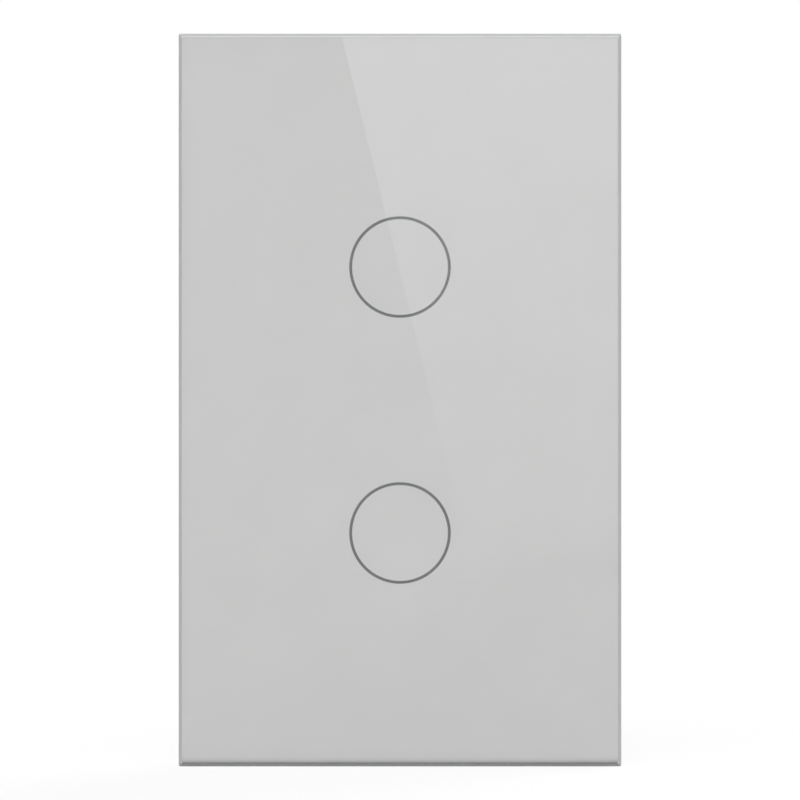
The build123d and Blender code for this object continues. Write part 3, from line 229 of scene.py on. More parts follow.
# The small steps that several finishes share
Surface = namedtuple("Surface", "material tree shader place")


def finish(name, colour, roughness, metallic=0.0, **sockets):
    """Starts a finish: its material, its node tree, its one shader and the part's own coordinates."""
    material = bpy.data.materials.new(name)
    material.use_nodes = True
    tree = material.node_tree
    tree.nodes.clear()
    place = add(tree, "ShaderNodeTexCoord").outputs["Object"]
    values = {"Base Color": linear(colour), "Roughness": roughness, "Metallic": metallic}
    values.update({key.replace("_", " "): value for key, value in sockets.items()})
    shader = add(tree, "ShaderNodeBsdfPrincipled", values)
    add(tree, "ShaderNodeOutputMaterial", {"Surface": shader.outputs[0]})
    return Surface(material, tree, shader, place)


def change(surface, mask, colour, roughness=None, metallic=None):
    """Turns the surface into another finish where the mask is 1, such as tinned legs on a moulded body."""
    wanted = {"Base Color": linear(colour), "Roughness": roughness, "Metallic": metallic}
    for name, value in wanted.items():
        if value is None:
            continue
        socket = surface.shader.inputs[name]
        before = socket.links[0].from_socket if socket.is_linked else socket.default_value
        kind, first, second, result = ("RGBA", 6, 7, 2) if name == "Base Color" else ("FLOAT", 2, 3, 0)
        mixed = add(surface.tree, "ShaderNodeMix", {0: mask, first: before, second: value}, data_type=kind)
        surface.tree.links.new(mixed.outputs[result], socket)


def drift(surface, size, low, high, detail=2.0):
    """A value that wanders between low and high over patches of that size in mm."""
    cloud_feeds = {"Vector": surface.place, "Scale": 1 / (size * MM), "Detail": detail}
    cloud = add(surface.tree, "ShaderNodeTexNoise", cloud_feeds).outputs["Fac"]
    # Nearly all of the noise lies between 0.3 and 0.7
    feeds = {"Value": cloud, "From Min": 0.3, "From Max": 0.7, "To Min": low, "To Max": high}
    return add(surface.tree, "ShaderNodeMapRange", feeds).outputs[0]


def tint(surface, size, colour):
    """Lets the colour wander towards a second tone over patches of that size in mm."""
    change(surface, drift(surface, size, 0.0, 1.0), colour)


def sheen(surface, size, low, high, detail=2.0):
    """Lets the roughness wander between two values over patches of that size in mm."""
    surface.tree.links.new(drift(surface, size, low, high, detail), surface.shader.inputs["Roughness"])


def dent(surface, height, depth):
    """Presses a height pattern into the surface, depth in mm, over any pattern that is there already."""
    normal = surface.shader.inputs["Normal"]
    feeds = {"Height": height, "Distance": depth * MM}
    if normal.is_linked:
        feeds["Normal"] = normal.links[0].from_socket
    surface.tree.links.new(add(surface.tree, "ShaderNodeBump", feeds).outputs[0], normal)


def grit(surface, size, depth, stretch=(1, 1, 1)):
    """A fine random texture, its grain size and depth in mm, drawn out where stretch is under 1."""
    drawn = add(surface.tree, "ShaderNodeVectorMath", {0: surface.place, 1: stretch}, operation="MULTIPLY")
    feeds = {"Vector": drawn.outputs[0], "Scale": 1 / (size * MM), "Detail": 3.0}
    dent(surface, add(surface.tree, "ShaderNodeTexNoise", feeds).outputs["Fac"], depth)


def paint_recess_shade(surface, reach, colour):
    """Paints shade into corners and recesses by darkening the colour where the sky is hidden, within a reach
    in mm.
    """
    sky = add(surface.tree, "ShaderNodeAmbientOcclusion", {"Distance": reach * MM}, samples=8).outputs["AO"]
    # It starts where a tenth of the sky is hidden, and is full where six tenths are
    feeds = {"Value": sky, "From Min": 0.9, "From Max": 0.4}
    change(surface, add(surface.tree, "ShaderNodeMapRange", feeds).outputs[0], colour)


def within(surface, **limits):
    """1 where every named coordinate lies between its two limits in mm, and 0 elsewhere."""
    tree = surface.tree
    axes = add(tree, "ShaderNodeSeparateXYZ", {0: surface.place}).outputs
    mask = 1.0
    for axis, (low, high) in limits.items():
        for limit, kind in ((low, "GREATER_THAN"), (high, "LESS_THAN")):
            side = add(tree, "ShaderNodeMath", {0: axes[axis], 1: limit * MM}, operation=kind).outputs[0]
            mask = add(tree, "ShaderNodeMath", {0: mask, 1: side}, operation="MULTIPLY").outputs[0]
    return mask


# Finishes of the front panel
def toughened_glass():
    """Toughened float glass: clear, with a trace of green, and edges ground to an even satin."""
    surface = finish("toughened_glass", "#FDFEFE", 0.0, IOR=1.52)
    tree, shader = surface.tree, surface.shader
    normal = add(tree, "ShaderNodeNewGeometry").outputs["True Normal"]
    facing = add(tree, "ShaderNodeSeparateXYZ", {0: normal}).outputs
    square_on = add(tree, "ShaderNodeMath", {0: facing["Y"]}, operation="ABSOLUTE").outputs[0]
    polished = add(tree, "ShaderNodeMath", {0: square_on, 1: 0.9}, operation="GREATER_THAN").outputs[0]
    ground = add(tree, "ShaderNodeMath", {0: 1.0, 1: polished}, operation="SUBTRACT").outputs[0]
    tree.links.new(polished, shader.inputs["Transmission Weight"])
    change(surface, ground, "#B6B8B8", 0.38)
    # The flat sides show the green of the whole sheet
    side = add(tree, "ShaderNodeMath", {0: square_on, 1: 0.1}, operation="LESS_THAN").outputs[0]
    change(surface, side, "#A8B7B1", 0.26)
    # The foot edge, which faces down, is painted a shade darker
    foot = add(tree, "ShaderNodeMath", {0: facing["Z"], 1: -0.5}, operation="LESS_THAN").outputs[0]
    change(surface, foot, "#A7A9A9", 0.38)
    # The lamps reach the print through the glass
    shadow = add(tree, "ShaderNodeLightPath").outputs["Is Shadow Ray"]
    clear = add(tree, "ShaderNodeBsdfTransparent")
    through = add(tree, "ShaderNodeMixShader", {0: shadow, 1: shader.outputs[0], 2: clear.outputs[0]})
    output = next(node for node in tree.nodes if node.type == "OUTPUT_MATERIAL")
    tree.links.new(through.outputs[0], output.inputs["Surface"])
    return surface.material


def fired_grey_ink():
    """Ceramic ink screen-printed on the back of the glass and fired: dense, even, a little mottled."""
    surface = finish("fired_grey_ink", "#BAB9B9", 0.55)
    tint(surface, 9.0, "#B8B7B7")
    grit(surface, 0.2, 0.003)
    # Painted shade along the foot of the print
    paint_shade_at_foot(surface)
    return surface.material


def paint_shade_at_foot(surface):
    """Paints shade into the print along the last millimetre and a half above its foot, darker the nearer the
    foot.
    """
    # Heights in mm above the foot of the glass, each with the share of the colour that is left
    steps = ((0.48, 0.42), (0.68, 0.68), (1.05, 0.9), (1.6, 1.0))
    height = add(surface.tree, "ShaderNodeSeparateXYZ", {0: surface.place}).outputs["Z"]
    above = add(surface.tree, "ShaderNodeMath", {0: height, 1: cad_low.z}, operation="SUBTRACT").outputs[0]
    socket = surface.shader.inputs["Base Color"]
    feeds = {0: socket.links[0].from_socket, "Scale": ramp(surface.tree, above, steps, MM)}
    darker = add(surface.tree, "ShaderNodeVectorMath", feeds, operation="SCALE").outputs[0]
    surface.tree.links.new(darker, socket)


def dark_ring_ink():
    """A dark translucent ink for the ring marks, printed with the grey one."""
    surface = finish("dark_ring_ink", "#2E3032", 0.5)
    tint(surface, 3.0, "#34363A")
    return surface.material


def acrylic_foam():
    """Closed-cell acrylic foam tape: dark grey, matt, with fine cells at its cut edge."""
    surface = finish("acrylic_foam", "#5C5D5F", 0.85)
    tint(surface, 1.2, "#525355")
    grit(surface, 0.25, 0.05)
    return surface.material


# Finishes of the moulded parts
def moulded(name, colour, second, roughness, grain, depth, patch=14.0):
    """A moulded plastic with a spark-eroded texture from its mould and a slight change of sheen."""
    surface = finish(name, colour, roughness, IOR=1.53)
    tint(surface, patch, second)
    sheen(surface, 3.0, roughness - 0.05, roughness + 0.06)
    grit(surface, grain, depth)
    return surface.material


def abs_frame():
    """Grey ABS, with the fine matt grain of a textured mould."""
    return moulded("grey_abs", "#A2A3A4", "#9D9E9F", 0.52, 0.30, 0.012)


def polycarbonate_chassis():
    """Off-white polycarbonate, a touch glossier than the frame."""
    return moulded("white_polycarbonate", "#E4E4DF", "#DEDED8", 0.44, 0.35, 0.010)


def polycarbonate_housing():
    """Black flame-retardant polycarbonate, with a coarser spark-eroded grain."""
    return moulded("black_polycarbonate", "#2B2C2E", "#262729", 0.50, 0.38, 0.020)


def polyamide_block():
    """Dark grey glass-filled polyamide: a dry, slightly patchy surface."""
    return moulded("grey_polyamide", "#5B6062", "#535859", 0.58, 0.22, 0.014, 4.0)


# Finishes of the metal parts
def sheet_metal(name, colour, second, roughness, rolling):
    """Plated sheet: rolling lines, a cloudy plating and soft changes of gloss."""
    surface = finish(name, colour, roughness, 1.0)
    tint(surface, 6.0, second)
    # Painted shade darkens the corners and recesses of every plated part
    paint_recess_shade(surface, 1.2, "#4C4D4E")
    sheen(surface, 2.2, roughness - 0.07, roughness + 0.09, 4.0)
    grit(surface, 0.4, 0.004, rolling)
    return surface


def zinc_sheet():
    """Zinc-plated steel with a clear blue passivation, rolled along its length."""
    return sheet_metal("zinc_plated_steel", "#AEB1B4", "#A2A6A9", 0.36, (1, 1, 0.06)).material


def zinc_screw():
    """Machined steel screws, zinc-plated: brighter than the sheet, with fine tool marks."""
    return sheet_metal("zinc_plated_screw", "#BBBDBF", "#AFB2B4", 0.27, (1, 1, 1)).material


def nickel_wire():
    """Spring wire with bright nickel, drawn along its length."""
    return sheet_metal("nickel_spring_wire", "#D6D2C8", "#CBC7BC", 0.2, (1, 0.2, 1)).material


def tinned_brass():
    """Stamped brass, thinly tinned, so that it shows pale yellow."""
    return sheet_metal("tinned_brass", "#CDB98A", "#D2C6A6", 0.3, (1, 0.05, 1)).material


def yellow_zinc():
    """Pressed steel clamps with a yellow passivated zinc, which shifts in tone."""
    return sheet_metal("yellow_zinc", "#CFC089", "#BFB48C", 0.34, (1, 0.08, 1)).material


def tinned_steel():
    """Tinned sheet of the shield can: soft, bright, a little wavy."""
    surface = sheet_metal("tinned_steel", "#D3D4D4", "#C9CBCC", 0.25, (0.1, 1, 1))
    grit(surface, 4.0, 0.06)
    return surface.material


def soft_iron():
    """Relay iron with a dull nickel plating."""
    return sheet_metal("nickel_plated_iron", "#B9B7B1", "#ACAAA4", 0.36, (1, 1, 0.1)).material


# Finishes of the boards and the parts on them
BOARD_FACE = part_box("touch_board")[0].y / MM
POWER_BOARD_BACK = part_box("power_board")[1].y / MM
# Bare leads of the parts on the power board end this far above it, in mm
LEAD_REACH = 0.15
# Half the width of a chip's moulded body between its rows of legs
CHIP_BODY_HALF = 1.96
# How far the limit of a mask stays clear of a face
CLEAR = 0.02


def threads(surface, axis, pitch, depth, wander, detail=2.0):
    """Threads or turns laid side by side across that axis, pitch and depth in mm, a little uneven."""
    # The texture has about three lines to each unit of its scale
    scale = 1 / (pitch * MM) / 3
    feeds = {"Vector": surface.place, "Scale": scale, "Distortion": wander, "Detail": detail}
    lines = add(surface.tree, "ShaderNodeTexWave", feeds, bands_direction=axis)
    dent(surface, lines.outputs["Fac"], depth)


def laminate(name, colour, second):
    """Glass-epoxy board under solder mask: glossy, with the weave of the cloth just showing."""
    surface = finish(name, colour, 0.3, IOR=1.55, Coat_Weight=0.3, Coat_Roughness=0.15)
    tint(surface, 8.0, second)
    for axis in ("X", "Z"):
        threads(surface, axis, 0.45, 0.003, 0.4, 1.0)
    return surface.material


def chip_epoxy():
    """Black moulding compound, fine and dry."""
    surface = finish("chip_epoxy", "#26272A", 0.55)
    tint(surface, 1.5, "#2C2D30")
    grit(surface, 0.12, 0.006)
    return surface


def leaded_chip(name, axis):
    """A chip: a black body with tinned legs on its two sides along that axis."""
    surface = chip_epoxy()
    low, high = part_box(name)
    middle = getattr(low + high, axis.lower()) / 2 / MM
    for side in ((-BEYOND, middle - CHIP_BODY_HALF), (middle + CHIP_BODY_HALF, BEYOND)):
        change(surface, within(surface, **{axis: side}), "#CFD0D1", 0.28, 1.0)
    return surface.material


def opal_polycarbonate():
    """Opal polycarbonate of the light rings: milky, and lit from within by what falls on it."""
    milk = {"Subsurface_Weight": 0.4, "Subsurface_Scale": 0.002}
    surface = finish("opal_polycarbonate", "#EEF0EF", 0.32, IOR=1.58, **milk)
    tint(surface, 5.0, "#E6E9E8")
    grit(surface, 0.3, 0.005)
    return surface.material


def led_package():
    """White ceramic package with a yellow phosphor under its clear top."""
    surface = finish("led_package", "#F1F0EA", 0.35)
    grit(surface, 0.1, 0.003)
    top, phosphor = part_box("ring_leds")[0].y / MM, 0.3
    change(surface, within(surface, Y=(-BEYOND, top + phosphor)), "#E5C94A", 0.18)
    return surface.material


def painted(name, colour, second, roughness, patch=3.0, grain=0.2, depth=0.004):
    """A moulded or dipped coat with a slight change of tone."""
    surface = finish(name, colour, roughness)
    tint(surface, patch, second)
    grit(surface, grain, depth)
    return surface


def wound(name, colour, second, metallic, pitch, roughness):
    """Turns of wire or tape laid side by side, pitch in mm, along the depth of the switch."""
    surface = finish(name, colour, roughness, metallic)
    tint(surface, 1.0, second)
    threads(surface, "Y", pitch, pitch / 3, 0.3)
    return surface


def with_leads(surface):
    """Bares the tinned leads of a part that stands on the power board."""
    foot = within(surface, Y=(-BEYOND, POWER_BOARD_BACK + LEAD_REACH))
    change(surface, foot, "#C9CACB", 0.3, 1.0)
    return surface.material


def header_nylon():
    """Black nylon strips with gilt pins, which stand out at both ends."""
    surface = painted("header_nylon", "#202124", "#27282B", 0.5)
    socket_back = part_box("header_socket")[1].y / MM
    for ends in ((-BEYOND, BOARD_FACE - CLEAR), (socket_back + CLEAR, BEYOND)):
        change(surface, within(surface, Y=ends), "#D9B765", 0.22, 1.0)
    return surface.material


def solder():
    """Lead-free solder: bright tin, frosted where it set."""
    surface = finish("solder", "#D8D9DA", 0.24, 1.0)
    sheen(surface, 0.4, 0.16, 0.42)
    grit(surface, 0.25, 0.02)
    return surface.material


def gilt_copper():
    """Copper pads under a thin immersion gold: a warm satin."""
    surface = finish("gilt_copper", "#DDBB6C", 0.3, 1.0)
    tint(surface, 0.8, "#D2AE60")
    return surface.material


def covered_track():
    """Copper tracks under the solder mask: a lighter green than the bare board, and as glossy."""
    surface = finish("covered_track", "#35905A", 0.28, IOR=1.55, Coat_Weight=0.3)
    tint(surface, 2.0, "#2F8652")
    return surface.material


def legend_ink():
    """White legend ink, printed thick enough to stand a little proud of the board."""
    surface = finish("legend_ink", "#E9EAE6", 0.6)
    tint(surface, 0.6, "#DADCD8")
    grit(surface, 0.15, 0.01)
    return surface.material


def dress_parts():
    """Puts a finish on every part, by the record's slots, or one of its own; gives the finishes by slot."""
    by_slot = {
        "clear_glass": toughened_glass(),
        "grey_print": fired_grey_ink(),
        "ring_ink": dark_ring_ink(),
        "foam_tape": acrylic_foam(),
        "frame_plastic": abs_frame(),
        "plated_steel": zinc_sheet(),
        "screw_steel": zinc_screw(),
        "chassis_plastic": polycarbonate_chassis(),
        "housing_plastic": polycarbonate_housing(),
        "board": laminate("green_laminate", "#1E6B3C", "#1A6136"),
        "board_black": laminate("black_laminate", "#23252A", "#1E2024"),
        "spring_steel": nickel_wire(),
        "diffuser": opal_polycarbonate(),
        "led": led_package(),
        "chip_black": chip_epoxy().material,
        "shield_metal": tinned_steel(),
        "header_black": header_nylon(),
        "terminal_plastic": polyamide_block(),
        "brass": tinned_brass(),
        "clamp_metal": yellow_zinc(),
        "relay_case": painted("blue_pbt", "#24509C", "#204891", 0.36).material,
        "copper": wound("enamelled_copper", "#B8693B", "#A95F36", 0.9, 0.14, 0.32).material,
        "magnet_steel": soft_iron(),
        "fuse_body": with_leads(painted("fuse_case", "#7A2B22", "#70261E", 0.4)),
        "varistor_coat": with_leads(painted("varistor_epoxy", "#2E6FA8", "#29659B", 0.35, depth=0.02)),
        "film_case": with_leads(painted("film_case", "#E0B63A", "#D8AD33", 0.38)),
        "can_sleeve": with_leads(painted("can_sleeve", "#23272F", "#1F232A", 0.3)),
        "ferrite": painted("sintered_ferrite", "#45464A", "#3C3D41", 0.6, 1.5, 0.1, 0.02).material,
        "winding_tape": with_leads(wound("polyester_tape", "#DDB43C", "#D2A932", 0.0, 3.0, 0.3)),
    }
    own = {
        "touch_chip": leaded_chip("touch_chip", "X"),
        "power_chip": leaded_chip("power_chip", "Z"),
        "bridge_rectifier": with_leads(chip_epoxy()),
    }
    for part in frame["record"]["subparts"]:
        slots = nodes[part["node"]].data.materials
        slots.clear()
        slots.append(own.get(part["node"], by_slot[part["material_slot"]]))
    # What the print scatters leaves by the same straight way that the lamps came in
    nodes["glass_panel"].visible_diffuse = False
    return by_slot


# Shapes of the small details. A place is an (x, z) pair in mm, seen from the front, and depths are along y
def piece(name, body, material, build):
    """Makes a piece from what build draws in millimetres, and lets it move with its body."""
    mesh = bpy.data.meshes.new(name)
    shape = bmesh.new()
    build(shape)
    bmesh.ops.recalc_face_normals(shape, faces=shape.faces)
    bmesh.ops.scale(shape, vec=(MM, MM, MM), verts=shape.verts)
    shape.to_mesh(mesh)
    shape.free()
    mesh.materials.append(material)
    made = put(name, mesh)
    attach(made, body)


def skin(shape, rings, closed=False):
    """Covers the gaps between rings of points with faces, and caps both ends unless the rings close."""
    made = [[shape.verts.new(point) for point in ring] for ring in rings]
    pairs = list(zip(made, made[1:])) + ([(made[-1], made[0])] if closed else [])
    for one, two in pairs:
        for k in range(len(one)):
            after = (k + 1) % len(one)
            shape.faces.new((one[k], one[after], two[after], two[k]))
    if not closed:
        shape.faces.new(made[0][::-1])
        shape.faces.new(made[-1])


def strip(shape, points, width, near, far):
    """A flat track of that width along the points, its corners mitred."""
    # A sharp corner's mitre reaches no further than half the width over this
    least_turn = 0.4
    path = [Vector(point) for point in points]
    rings = []
    for i, here in enumerate(path):
        before = (here - path[i - 1]).normalized() if i else (path[1] - here).normalized()
        after = (path[i + 1] - here).normalized() if i + 1 < len(path) else before
        along = (before + after).normalized()
        across = Vector((-along.y, along.x))
        reach = across * width / 2 / max(least_turn, across.dot(Vector((-after.y, after.x))))
        left, right = here + reach, here - reach
        corners = ((left, near), (right, near), (right, far), (left, far))
        rings.append([(p.x, y, p.y) for p, y in corners])
    skin(shape, rings)


def turned(shape, centre, profile, sides=24, closed=False):
    """Turns a profile of (radius, y) pairs round an axis along y, through the centre."""
    angles = [2 * math.pi * k / sides for k in range(sides)]
    ways = [(math.cos(angle), math.sin(angle)) for angle in angles]
    rings = []
    for radius, y in profile:
        rings.append([(centre[0] + radius * x, y, centre[1] + radius * z) for x, z in ways])
    skin(shape, rings, closed)


def hoop(shape, centre, inner, outer, near, far, sides=64):
    """A flat ring between two radii."""
    turned(shape, centre, ((inner, far), (inner, near), (outer, near), (outer, far)), sides, closed=True)


def lump(shape, x_range, z_range, near, far, draw):
    """A low block whose near face is smaller by draw on all four sides, like set solder."""
    # Its sides bulge: a third of the way up they have drawn in by little more than a third
    shoulder = (draw * 0.35, (near + 2 * far) / 3)
    rings = []
    for inset, y in ((0, far), shoulder, (draw, near)):
        (x1, x2), (z1, z2) = [(low + inset, high - inset) for low, high in (x_range, z_range)]
        rings.append([(x1, y, z1), (x2, y, z1), (x2, y, z2), (x1, y, z2)])
    skin(shape, rings)


def arc(centre, radius, first, last, step=6):
    """Points on an arc between two angles in degrees."""
    count = max(2, round(abs(last - first) / step))
    angles = [math.radians(first + (last - first) * k / count) for k in range(count + 1)]
    return [(centre[0] + radius * math.cos(a), centre[1] + radius * math.sin(a)) for a in angles]


def stepped(start, turn_x, end, corner=0.3):
    """A track that runs level, then up or down at turn_x with cut corners, then level again."""
    z1, z2 = start[1], end[1]
    # The two cuts of a short climb don't meet
    cut = min(corner, abs(z2 - z1) / 2.2)
    way = math.copysign(cut, z2 - z1)
    return [start, (turn_x - cut, z1), (turn_x, z1 + way), (turn_x, z2 - way), (turn_x + cut, z2), end]


def both_ends(low, high, under, out):
    """Two ranges, one over each end of a part: so far under the part, and so far out of it."""
    return (low - out, low + under), (high - under, high + out)


def solids_of(name):
    """The lowest and highest corner, in mm, of each separate solid in a part."""
    shape = bmesh.new()
    shape.from_mesh(nodes[name].data)
    # Faces that meet have points of their own, so equal points are joined first
    bmesh.ops.remove_doubles(shape, verts=shape.verts, dist=1e-7)
    left = set(shape.verts)
    found = []
    while left:
        reached = [left.pop()]
        group = []
        while reached:
            vert = reached.pop()
            group.append(vert.co / MM)
            touching = {edge.other_vert(vert) for edge in vert.link_edges} & left
            left -= touching
            reached.extend(touching)
        low = Vector([min(point[axis] for point in group) for axis in range(3)])
        high = Vector([max(point[axis] for point in group) for axis in range(3)])
        found.append((low, high))
    shape.free()
    return sorted(found, key=lambda pair: tuple(pair[0]))


# Where things are on the touch board, from the parts' own boxes
RADIO_LOW, RADIO_HIGH = [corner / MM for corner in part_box("radio_board")]
CHIP_LOW, CHIP_HIGH = [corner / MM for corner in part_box("touch_chip")]
RING_Z = sum(corner.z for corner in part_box("light_ring_upper")) / 2 / MM
RING_PLACES = ((0.0, RING_Z), (0.0, -RING_Z))
LED_CIRCLE = 5.9
SPRING_FOOT_X = 4.2
LEG_PITCH = 1.27
LEG_HEIGHTS = [(CHIP_LOW.z + CHIP_HIGH.z) / 2 + LEG_PITCH * (k - 3.5) for k in range(8)]
EDGE_PITCH = 2.0
EDGE_PADS = [-10.6 + EDGE_PITCH * k for k in range(8)]
PIN_X = 16.4
PIN_PITCH = 2.54
PIN_HEIGHTS = [PIN_PITCH * (k - 3) for k in range(7)]
SCREW_PLACES = ((-16.2, 11.0), (16.2, -13.0))

# How far details stand out of the board's face, and how far they are sunk in it
TRACK_HEIGHT = 0.035
VIA_HEIGHT = 0.05
LEGEND_HEIGHT = 0.03
SUNK = 0.02
FOOT = BOARD_FACE + SUNK

# Set solder: how far it goes under the part and out of it, its height, and how far its sides draw in
PART_SOLDER = (0.2, 0.34, 0.28, 0.18)
LAMP_SOLDER = (0.12, 0.4, 0.3, 0.16)
LEG_SOLDER = (0.3, 0.35, 0.2, 0.14)
PAD_SOLDER = (0.1, 0.75, 0.45, 0.2)
# Solder round a pin: pairs of a radius and a height, from the board up
PIN_SOLDER = ((0.85, -SUNK), (0.82, 0.06), (0.5, 0.24), (0.38, 0.36))
SPRING_SOLDER = ((0.95, -SUNK), (0.9, 0.1), (0.55, 0.4), (0.3, 0.5))

# Widths of the tracks: signals, touch and lamp lines, supply lines, and the ground round the edge
FINE, MIDDLE, BROAD, GROUND = 0.2, 0.25, 0.3, 0.4
SUPPLY_TRACKS = (
    ((-16.6, 4.4), (-16.6, 7.2), (-15.2, 8.6), (-10.6, 8.6), (-2.9, 16.3)),
    ((-16.6, -10.2), (-16.6, -14.4), (-14.4, -16.6), (-9.8, -16.6), (-3.2, -16.6)),
    ((-13.6, 11.8), (-13.6, 13.6)),
    ((-11.6, 15.1), (-11.6, 17.0), (-10.2, 18.4), (-10.2, 29.4)),
    ((12.6, 13.4), (12.6, 15.0)),
    ((14.6, 16.6), (14.6, 20.0), (12.2, 22.4), (12.2, 29.4)),
    ((-11.6, -14.3), (-11.6, -15.4), (-13.4, -17.2), (-13.4, -29.0)),
    ((PIN_X, 8.4), (PIN_X, 10.0), (14.6, 11.8)),
)
GROUND_EDGE = (18.5, 31.0)


def track_routes():
    """The routes of the tracks on the touch board, each as its width and its points."""
    routes = []
    # From the chip to the radio board: each turns a little to the right of the one before
    for k, (leg, pad) in enumerate(zip(LEG_HEIGHTS, EDGE_PADS)):
        turn_x = -7.1 + 0.31 * k
        routes.append((FINE, stepped((CHIP_HIGH.x + 0.2, leg), turn_x, (RADIO_LOW.x - 0.1, pad))))
    # From the radio board to the pins: each turns a little to the left of the one before
    for k, (pad, pin) in enumerate(zip(EDGE_PADS, PIN_HEIGHTS)):
        turn_x = 14.44 - 0.34 * k
        routes.append((FINE, stepped((RADIO_HIGH.x + 0.1, pad), turn_x, (PIN_X - 0.7, pin))))
    # From the chip's other legs to the column of small parts beside it, and from those to the edge
    for leg, target in ((0, -5.6), (2, -2.3), (4, -0.2), (5, 1.0), (7, 4.3)):
        x, z = CHIP_LOW.x - 0.1, LEG_HEIGHTS[leg]
        routes.append((MIDDLE, [(x, z), (x - 0.4, z), (-14.7, target)]))
    for height in (-10.1, -6.8, -3.5, -0.2, 3.1):
        routes.append((BROAD, [(-15.0, height), (-16.5, height)]))
    for points in SUPPLY_TRACKS:
        routes.append((BROAD, points))
    x, z = GROUND_EDGE
    routes.append((GROUND, [(0, z), (-x, z), (-x, -z), (x, -z), (x, z), (0, z)]))
    # Round each ring, in degrees from one lamp to the next
    for centre in RING_PLACES:
        for first, last in ((58, 122), (148, 212), (238, 302)):
            routes.append((MIDDLE, arc(centre, LED_CIRCLE, first, last)))
    return routes


def draw_tracks(shape):
    """The copper tracks under the solder mask."""
    for width, points in track_routes():
        strip(shape, points, width, BOARD_FACE - TRACK_HEIGHT, FOOT)


def draw_vias(shape):
    """Small plated holes at the ends of tracks, beside the chip and the radio, and along the ground edge."""
    hole, pad = 0.16, 0.36
    places = [(-2.9, 16.3), (-3.2, -16.6), (-10.2, 29.4), (12.2, 29.4), (-13.4, -29.0)]
    for height in (19.5, 24.5, 29.5):
        places += [(x, z) for x in (-17.4, 17.4) for z in (-height, height)]
    places += [(-7.0, 7.4), (-5.8, 7.4), (-6.4, 9.6), (-9.4, -8.8), (-7.9, -8.8)]
    places += [(12.9, -12.6), (13.9, -12.6)]
    for place in places:
        hoop(shape, place, hole, pad, BOARD_FACE - VIA_HEIGHT, FOOT, 20)


def solder_sides(shape, part_x, z_range, amounts):
    """Solder at the left and the right end of a part."""
    under, out, height, draw = amounts
    for x_range in both_ends(*part_x, under, out):
        lump(shape, x_range, z_range, BOARD_FACE - height, FOOT, draw)


def solder_cone(shape, place, steps):
    """Solder risen round a pin."""
    turned(shape, place, [(radius, BOARD_FACE - height) for radius, height in steps])


def draw_solder(shape):
    """Solder at the ends of the small parts, lamps, legs, edge pads, pins and touch springs."""
    spare, half_leg, half_pad = 0.06, 0.3, 0.5
    under, out, height, draw = PART_SOLDER
    for low, high in solids_of("small_parts"):
        for z_range in both_ends(low.z, high.z, under, out):
            lump(shape, (low.x - spare, high.x + spare), z_range, BOARD_FACE - height, FOOT, draw)
    for low, high in solids_of("ring_leds"):
        solder_sides(shape, (low.x, high.x), (low.z + spare, high.z - spare), LAMP_SOLDER)
    for z in LEG_HEIGHTS:
        solder_sides(shape, (CHIP_LOW.x, CHIP_HIGH.x), (z - half_leg, z + half_leg), LEG_SOLDER)
    for z in EDGE_PADS:
        solder_sides(shape, (RADIO_LOW.x, RADIO_HIGH.x), (z - half_pad, z + half_pad), PAD_SOLDER)
    for z in PIN_HEIGHTS:
        solder_cone(shape, (PIN_X, z), PIN_SOLDER)
    for x, z in RING_PLACES:
        solder_cone(shape, (x + SPRING_FOOT_X, z), SPRING_SOLDER)


def draw_part_ends(shape):
    """Metal ends of the small chip parts, wrapped round the body."""
    length, wrap, thickness, draw = 0.3, 0.02, 0.03, 0.04
    for low, high in solids_of("small_parts"):
        for z_range in both_ends(low.z, high.z, length, wrap):
            lump(shape, (low.x - wrap, high.x + wrap), z_range, low.y - thickness, FOOT, draw)


def draw_legend(shape):
    """Printed outlines: round the light rings, the chip, the radio board, the pins and the screws."""
    near, far, line = BOARD_FACE - LEGEND_HEIGHT, FOOT, 0.16
    ring_radius, screw_radius = 9.25, 2.25
    for centre in RING_PLACES:
        hoop(shape, centre, ring_radius, ring_radius + line, near, far, 96)
    for centre in SCREW_PLACES:
        hoop(shape, centre, screw_radius, screw_radius + line, near, far)
    for height in (CHIP_LOW.z - 0.35, CHIP_HIGH.z + 0.35):
        strip(shape, [(CHIP_LOW.x + 0.9, height), (CHIP_HIGH.x - 0.9, height)], line, near, far)
    # The dot at the chip's first leg
    turned(shape, (CHIP_LOW.x + 0.2, CHIP_HIGH.z + 0.5), ((0.3, far), (0.3, near)))
    # An angle at each corner of the radio board
    for side_x, x in ((-1, RADIO_LOW.x - 0.35), (1, RADIO_HIGH.x + 0.35)):
        for side_z, z in ((-1, RADIO_LOW.z - 0.3), (1, RADIO_HIGH.z + 0.2)):
            corner = [(x - side_x * 1.6, z), (x, z), (x, z - side_z * 1.2)]
            strip(shape, corner, line, near, far)
    # The box round the pins
    left, right, top = 15.0, 17.8, 9.3
    box = [(left, 0), (left, top), (right, top), (right, -top), (left, -top), (left, 0)]
    strip(shape, box, line, near, far)
    # Lines beside and between the small parts, each as its place and its two ends
    uprights = ((-15.75, -10.0, 4.4), (-12.6, 10.2, 15.2), (-12.6, -14.4, -9.6), (13.6, 11.8, 16.6))
    for x, foot, head in uprights:
        strip(shape, [(x, foot), (x, head)], line, near, far)


def draw_antenna(shape):
    """The radio's folded aerial, a bare track on the upper end of its board."""
    left, pitch, low, high, folds = -3.2, 1.5, 7.6, 11.2, 9
    feed, width, thickness = 5.2, 0.45, 0.04
    points = [(left, feed)]
    for k in range(folds):
        top = high if k % 2 == 0 else low
        points += [(left + pitch * k, top), (left + pitch * (k + 1), top)]
    strip(shape, points, width, RADIO_LOW.y - thickness, RADIO_LOW.y + SUNK)


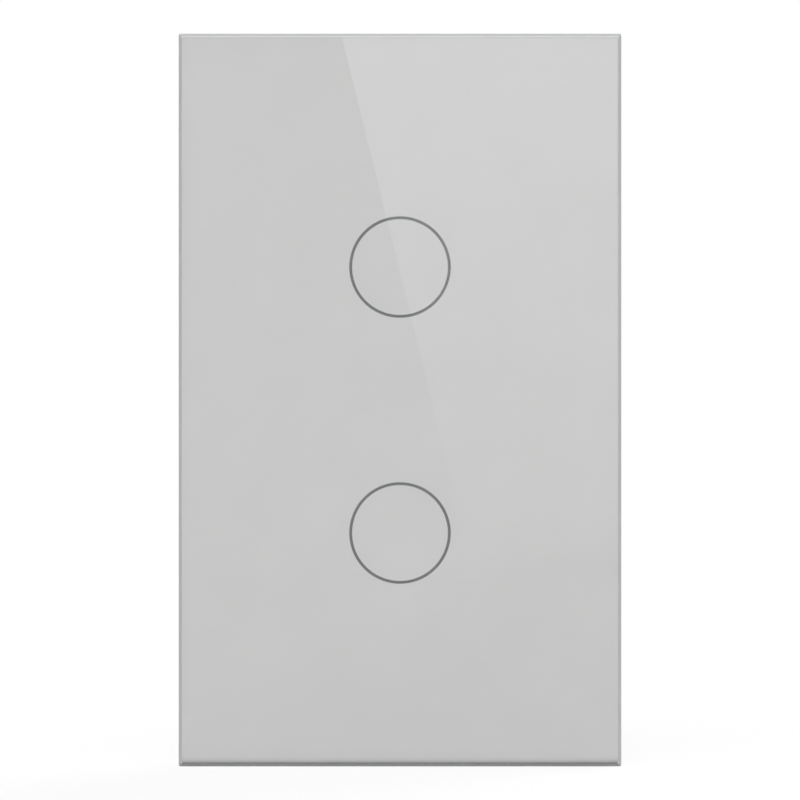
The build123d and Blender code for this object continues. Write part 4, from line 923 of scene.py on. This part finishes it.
def draw_radio_parts(shape):
    """A crystal and a row of small parts beside the radio's shield can."""
    sunk, draw = 0.01, 0.05
    for x_range, z_range, height in (
        ((6.2, 8.7), (4.3, 6.3), 0.6),
        ((3.4, 4.4), (4.5, 5.0), 0.3),
        ((1.9, 2.9), (4.5, 5.0), 0.3),
        ((0.4, 1.4), (4.5, 5.0), 0.3),
        ((-1.1, -0.1), (5.6, 6.1), 0.3),
        ((9.6, 10.6), (4.9, 5.4), 0.3),
    ):
        lump(shape, x_range, z_range, RADIO_LOW.y - height, RADIO_LOW.y + sunk, draw)


def draw_foot_shade_bead(shape):
    """A bead of glue along the foot of the print, behind the strip of glass that the print leaves clear; a
    dark strip that paints shade along the foot edge.
    """
    print_low, print_high = [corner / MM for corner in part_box("back_print")]
    glass_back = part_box("glass_panel")[1].y / MM
    width, height = 0.18, print_low.z - 0.08
    bead = [(print_low.x, height), (print_high.x, height)]
    strip(shape, bead, width, glass_back + 0.02, glass_back + 0.25)


# The marks over the terminals, in mm from each mark's foot, in the order that they are read from behind
TERMINAL_PITCH = 7.62
MARK_HEIGHT = 2.2
EARTH = (
    ((0, 2.0), (0, 1.0)),
    ((-0.7, 1.0), (0.7, 1.0)),
    ((-0.42, 0.55), (0.42, 0.55)),
    ((-0.16, 0.1), (0.16, 0.1)),
)
NEUTRAL = (((-0.55, 0), (-0.55, MARK_HEIGHT), (0.55, 0), (0.55, MARK_HEIGHT)),)
LIVE = (((-0.45, MARK_HEIGHT), (-0.45, 0.12), (0.5, 0.12)),)
ONE = (((-0.35, 1.55), (0.1, MARK_HEIGHT), (0.1, 0)),)
TWO = (((-0.5, 1.5), (-0.3, 1.88), (0.3, 1.88), (0.5, 1.45), (-0.5, 0.12), (0.6, 0.12)),)


def draw_pole_marks(shape):
    """Printed marks over the terminals, read from behind: earth, neutral, live and the two loads."""
    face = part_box("rear_housing")[1].y / MM
    line, foot, thickness = 0.28, -17.4, 0.05
    for k, strokes in enumerate((EARTH, NEUTRAL, LIVE, ONE, TWO)):
        middle = TERMINAL_PITCH * (2 - k)
        for stroke in strokes:
            points = [(middle - across, foot + up) for across, up in stroke]
            strip(shape, points, line, face + thickness, face - SUNK)


def add_details(finishes):
    """Adds the small details on the boards and the housing, each riding with what carries it."""
    bright, gilt, ink = solder(), gilt_copper(), legend_ink()
    piece("touch_board_tracks", "base", covered_track(), draw_tracks)
    piece("touch_board_vias", "base", gilt, draw_vias)
    piece("touch_board_solder", "base", bright, draw_solder)
    piece("small_part_ends", "base", bright, draw_part_ends)
    piece("touch_board_legend", "base", ink, draw_legend)
    piece("radio_antenna", "base", gilt, draw_antenna)
    piece("radio_parts", "base", finishes["shield_metal"], draw_radio_parts)
    # A dark bead at the foot of the panel paints shade there
    piece("foot_shade_bead", "front_panel", finishes["foam_tape"], draw_foot_shade_bead)
    piece("pole_marks", "base", ink, draw_pole_marks)


place_camera()
light_world()
place_lamps()
lay_floor()
hang_reflector()
finishes = dress_parts()
add_details(finishes)

scene = bpy.context.scene
scene.view_settings.view_transform = "Standard"
